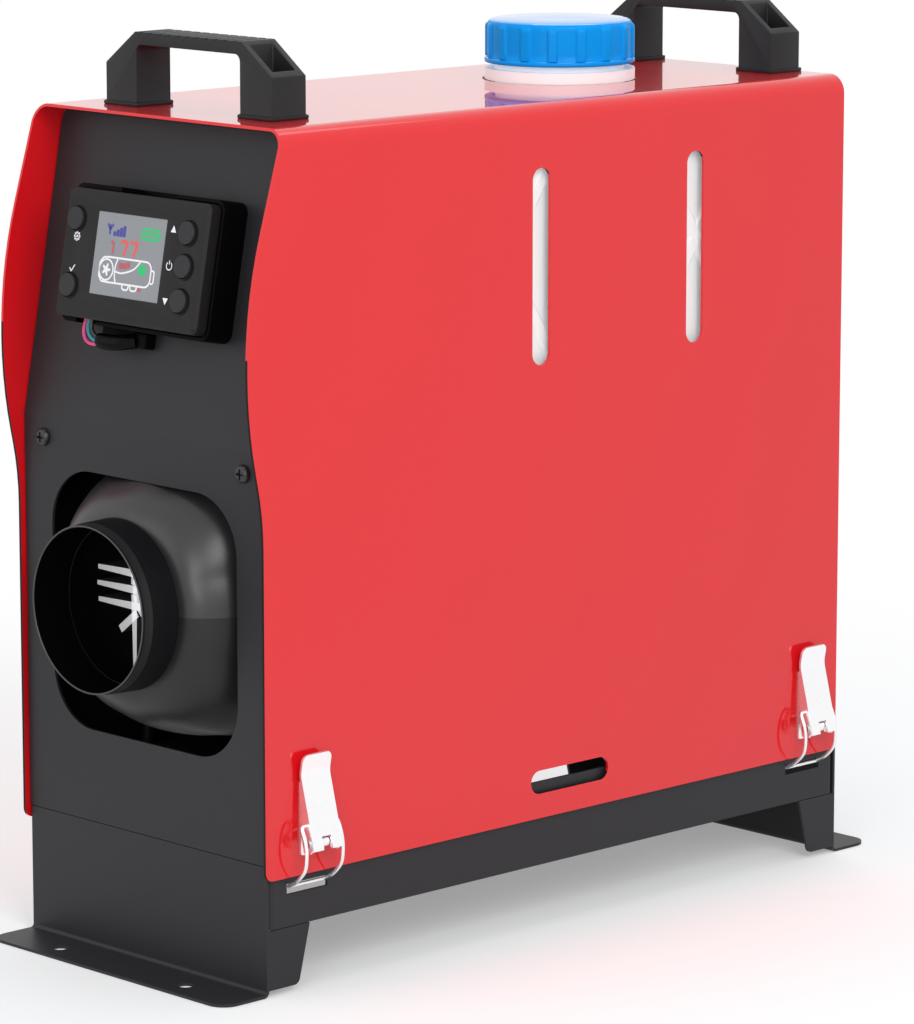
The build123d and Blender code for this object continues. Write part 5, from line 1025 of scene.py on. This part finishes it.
def soft_light(name, place, target, size, power):
    """Square soft box that points at a target."""
    data = bpy.data.lights.new(name, "AREA")
    data.shape = "RECTANGLE"
    data.size, data.size_y = size, size
    data.energy = power
    lamp = bpy.data.objects.new(name, data)
    lamp.location = place
    lamp.rotation_euler = (Vector(target) - Vector(place)).to_track_quat("-Z", "Y").to_euler()
    bpy.context.scene.collection.objects.link(lamp)


def pale_rays(tree):
    """1 for what the camera, a gloss or a clear piece sees, 0 for light that falls on a surface."""
    path = add_node(tree, "LightPath").outputs
    either = calculate(tree, "MAXIMUM", path["Is Camera Ray"], path["Is Glossy Ray"])
    return calculate(tree, "MAXIMUM", either, path["Is Transmission Ray"])


def floor_material():
    """Matt pale floor that keeps the object's shadow near it and turns to the ground's plain white further out, and
    is open from below."""
    material, tree = empty_material("studio_floor")
    matt = add_node(tree, "BsdfDiffuse", {"Color": (0.80, 0.80, 0.80, 1)}).outputs[0]
    lift = add_node(tree, "Emission", {"Strength": 0.30}).outputs[0]
    white = add_node(tree, "Emission", {"Strength": 1.0}).outputs[0]
    lifted = add_node(tree, "AddShader", {0: matt, 1: lift}).outputs[0]
    place = add_node(tree, "TexCoord").outputs["Object"]
    away = add_node(tree, "VectorMath", {0: place}, operation="LENGTH").outputs["Value"]
    fade = add_node(tree, "MapRange", {"Value": away, "From Min": 0.30, "From Max": 0.75},
                    interpolation_type="SMOOTHSTEP").outputs["Result"]
    seen = add_node(tree, "MixShader", {"Fac": fade, 1: lifted, 2: white}).outputs[0]
    kept = add_node(tree, "MixShader", {"Fac": pale_rays(tree), 1: matt, 2: seen}).outputs[0]
    below = add_node(tree, "NewGeometry").outputs["Backfacing"]
    clear = add_node(tree, "BsdfTransparent").outputs[0]
    whole = add_node(tree, "MixShader", {"Fac": below, 1: kept, 2: clear}).outputs[0]
    add_node(tree, "OutputMaterial", {"Surface": whole})
    return material


def studio_world(scene):
    """Soft even light all round, and plain white where the camera or a gloss sees past the floor."""
    world = bpy.data.worlds.new("studio")
    world.use_nodes = True
    scene.world = world
    tree = world.node_tree
    tree.nodes.clear()
    even = add_node(tree, "Background", {"Color": (0.95, 0.97, 1.0, 1), "Strength": 0.55}).outputs[0]
    white = add_node(tree, "Background", {"Color": (1, 1, 1, 1), "Strength": 1.0}).outputs[0]
    sky = add_node(tree, "MixShader", {"Fac": pale_rays(tree), 1: even, 2: white}).outputs[0]
    add_node(tree, "OutputWorld", {"Surface": sky})


CAMERA_TURN, CAMERA_PITCH = math.radians(45.90), math.radians(10.40)    # round from the front, and above level
CAMERA_DISTANCE = 2.095
FOCAL_PIXELS, PICTURE_HEIGHT = 4970, 1024       # focal length and picture height in the photograph's pixels


def place_camera(scene):
    """Camera on the photograph's line of sight, aimed at a point near the middle of the case."""
    turn, pitch = CAMERA_TURN, CAMERA_PITCH
    right = Vector((math.cos(turn), math.sin(turn), 0))
    back = Vector((math.sin(turn) * math.cos(pitch), -math.cos(turn) * math.cos(pitch), math.sin(pitch)))
    up = back.cross(right)
    target = Vector((0, -0.00253, 0.190)) + right * 0.0067 - up * 0.0248
    data = bpy.data.cameras.new("camera")
    data.sensor_width = 36.0
    data.lens = FOCAL_PIXELS * data.sensor_width / PICTURE_HEIGHT
    data.clip_start, data.clip_end = 0.05, 20.0
    camera = bpy.data.objects.new("camera", data)
    turned = Matrix((right, up, back)).transposed().to_4x4()
    camera.matrix_world = Matrix.Translation(target + back * CAMERA_DISTANCE) @ turned
    scene.collection.objects.link(camera)
    scene.camera = camera


# ------------------------------------------------------------------ operators


class HEATER_OT_base(bpy.types.Operator):
    """Coats the folded steel base, end panels, shelf and tray, and makes the panel screws"""

    bl_idname = "heater.base"
    bl_label = "Base and Panels"

    def execute(self, context):
        paint = finish("powder_black")
        coat(paint, "front_leg", "rear_leg", "left_rail", "right_rail", "front_panel", "rear_panel", "heater_shelf")
        coat(finish("zinc"), "tank_tray")
        screws = softened("panel_screws", context.scene.heater_sizes.screw_edge, segments=3)
        low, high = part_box("panel_screws")
        middle = (low[2] + high[2]) / 2
        reach = high[0] - SCREW_HEAD
        cut(screws, *(cross_recess(side * reach, face, middle, way)
                      for side in (-1, 1) for face, way in ((low[1], -1), (high[1], 1))))
        shade(painted(screws.data, finish("black_zinc")), 35.0)
        return {"FINISHED"}


class HEATER_OT_cover(bpy.types.Operator):
    """Coats the red cover"""

    bl_idname = "heater.cover"
    bl_label = "Cover"

    def execute(self, context):
        # red gloss outside, painted shade on the inner side behind the end panel
        coat(finish("gloss_red"), "cover")
        return {"FINISHED"}


class HEATER_OT_handles(bpy.types.Operator):
    """Makes the two carrying handles and their screws"""

    bl_idname = "heater.handles"
    bl_label = "Handles"

    def execute(self, context):
        for node in ("front_handle", "rear_handle"):
            painted(softened(node, context.scene.heater_sizes.handle_edge).data, finish("grip"))
        coat(finish("zinc"), "handle_screws")
        return {"FINISHED"}


class HEATER_OT_latches(bpy.types.Operator):
    """Makes the latch levers and wire bails, and coats plates and pins"""

    bl_idname = "heater.latches"
    bl_label = "Latches"

    def execute(self, context):
        radius = context.scene.heater_sizes.lever_corner
        for place in ("front_left", "front_right", "rear_left", "rear_right"):
            lever, bail = "latch_lever_" + place, "latch_bail_" + place
            low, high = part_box(lever)
            piece = as_object(lever + "_soft", merged_copy(lever), lever)
            cut(piece, *(corner_cutter(side, low, high, radius) for side in (-1, 1)))
            shade(painted(piece.data, finish("latch_paint")), 30.0)
            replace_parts(piece, lever)
            wire = painted(bail_mesh(bail), finish("pale_wire"))
            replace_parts(as_object(bail + "_bowed", wire, bail), bail)
        coat(finish("latch_paint"), "latch_plates")
        coat(finish("zinc"), "latch_pins")
        return {"FINISHED"}


class HEATER_OT_tank(bpy.types.Operator):
    """Makes the fuel tank and its cap, and coats the seal"""

    bl_idname = "heater.tank"
    bl_label = "Fuel Tank and Cap"

    def execute(self, context):
        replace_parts(as_object("fuel_tank_shaped", painted(tank_mesh(), finish("tank"))), "fuel_tank")
        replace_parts(as_object("fuel_cap_shaped", painted(cap_mesh(), finish("blue_cap")), "fuel_cap"), "fuel_cap")
        coat(finish("rubber"), "cap_liner")
        return {"FINISHED"}


class HEATER_OT_duct(bpy.types.Operator):
    """Makes the duct's dome, spigot and fins, and coats the rest of the heater unit"""

    bl_idname = "heater.duct"
    bl_label = "Duct Casing"

    def execute(self, context):
        swell = context.scene.heater_sizes.dome_swell
        coat(finish("black_moulding"), "intake_cowl", "air_fan", "burner_fan", "control_unit", "combustion_air_pipe")
        # the lower half takes the darker copy, painted shade
        for node, upper, step, key in (("upper_casing", True, 0.0, "dome"), ("lower_casing", False, LAP, "dome_under")):
            behind = cut_back(node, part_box(node)[0][1] + DOME_DEPTH)
            half = join(node + "_shaped", [behind, dome_half(upper, swell, step)])
            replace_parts(as_object(node + "_shaped", painted(half, finish(key))), node)
        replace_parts(as_object("spigot_tube", spigot_tube()), "outlet_spigot")
        as_object("fin_nose", join("fin_nose", fin_nose()))
        coat(finish("cast"), "heat_exchanger", "blower_housing")
        coat(finish("stainless"), "combustion_tube", "glow_plug", "exhaust_pipe", "rotor_shaft")
        coat(finish("rubber"), "foot_gasket")
        coat(finish("zinc"), "heater_studs", "blower_motor")
        return {"FINISHED"}


class HEATER_OT_fuel_line(bpy.types.Operator):
    """Coats the fuel filter, hoses and pump"""

    bl_idname = "heater.fuel_line"
    bl_label = "Fuel Line"

    def execute(self, context):
        coat(finish("clear_filter"), "fuel_filter")
        coat(finish("hose"), "fuel_hoses")
        coat(finish("zinc"), "fuel_pump", "pump_clamp")
        coat(finish("rubber"), "pump_sleeve")
        return {"FINISHED"}


class HEATER_OT_controller(bpy.types.Operator):
    """Makes the controller with its screen, buttons, cradle and lead"""

    bl_idname = "heater.controller"
    bl_label = "Controller"

    def execute(self, context):
        shell = softened("controller_front", context.scene.heater_sizes.shell_edge, segments=3)
        painted(shell.data, finish("controller"))
        coat(finish("controller"), "controller_back")
        coat(finish("cradle"), "controller_cradle")
        coat(finish("screen"), "controller_screen")
        coat(finish("board"), "control_board")
        coat(finish("button"), "button_up", "button_power", "button_down", "button_settings", "button_confirm")
        for name, meshes in (("face_signs", face_signs()), ("screen_signs", screen_signs()),
                             ("button_gap_shadows", button_gap_shadows())):
            as_object(name, join(name, meshes))
        leads, sleeve = lead_pieces()
        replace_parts(as_object("leads", join("leads", leads)), "lead_wires")
        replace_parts(as_object("sleeve", join("sleeve", [sleeve, bush_mesh()])), "lead_sleeve")
        return {"FINISHED"}


class HEATER_OT_studio(bpy.types.Operator):
    """Sets the pale floor, the soft lights and the camera"""

    bl_idname = "heater.studio"
    bl_label = "Studio"

    def execute(self, context):
        scene = context.scene
        scene.view_settings.view_transform = "Standard"
        floor_mesh = bpy.data.meshes.new("floor")
        ring = circle(3.0, 96)
        just_below = np.full(len(ring), -0.0002)
        floor_mesh.from_pydata(np.column_stack((ring, just_below)).tolist(), [], [list(range(len(ring)))])
        floor = bpy.data.objects.new("floor", painted(floor_mesh, floor_material()))
        scene.collection.objects.link(floor)
        studio_world(scene)
        soft_light("key", (1.85, -0.75, 1.35), (0, 0, 0.18), 1.1, 18.0)
        soft_light("front", (1.15, -1.95, 0.75), (0, -0.1, 0.18), 0.9, 9.0)
        soft_light("fill", (-1.0, -2.1, 0.9), (0, 0, 0.18), 1.4, 4.0)
        soft_light("top", (-0.2, 0.5, 2.2), (0, 0, 0.3), 1.6, 10.0)
        place_camera(scene)
        return {"FINISHED"}


class HEATER_PT_panel(bpy.types.Panel):
    """Lists the heater's colours, sizes and steps"""

    bl_idname = "HEATER_PT_panel"
    bl_label = "Diesel Air Heater"
    bl_space_type = "VIEW_3D"
    bl_region_type = "UI"
    bl_category = "Heater"

    def draw(self, context):
        column = self.layout.column()
        for group in (context.scene.heater_colours, context.scene.heater_sizes):
            for name in group.__annotations__:
                column.prop(group, name)
        for step in STEPS:
            column.operator(step.bl_idname)


STEPS = (HEATER_OT_base, HEATER_OT_cover, HEATER_OT_handles, HEATER_OT_latches, HEATER_OT_tank, HEATER_OT_duct,
         HEATER_OT_fuel_line, HEATER_OT_controller, HEATER_OT_studio)
CLASSES = (HeaterColours, HeaterSizes, *STEPS, HEATER_PT_panel)


def register():
    for item in CLASSES:
        bpy.utils.register_class(item)
    bpy.types.Scene.heater_colours = PointerProperty(type=HeaterColours)
    bpy.types.Scene.heater_sizes = PointerProperty(type=HeaterSizes)


def unregister():
    del bpy.types.Scene.heater_sizes
    del bpy.types.Scene.heater_colours
    for item in reversed(CLASSES):
        bpy.utils.unregister_class(item)


def main():
    register()
    bpy.ops.heater.base()
    bpy.ops.heater.cover()
    bpy.ops.heater.handles()
    bpy.ops.heater.latches()
    bpy.ops.heater.tank()
    bpy.ops.heater.duct()
    bpy.ops.heater.fuel_line()
    bpy.ops.heater.controller()
    bpy.ops.heater.studio()


if __name__ == "__main__":
    main()
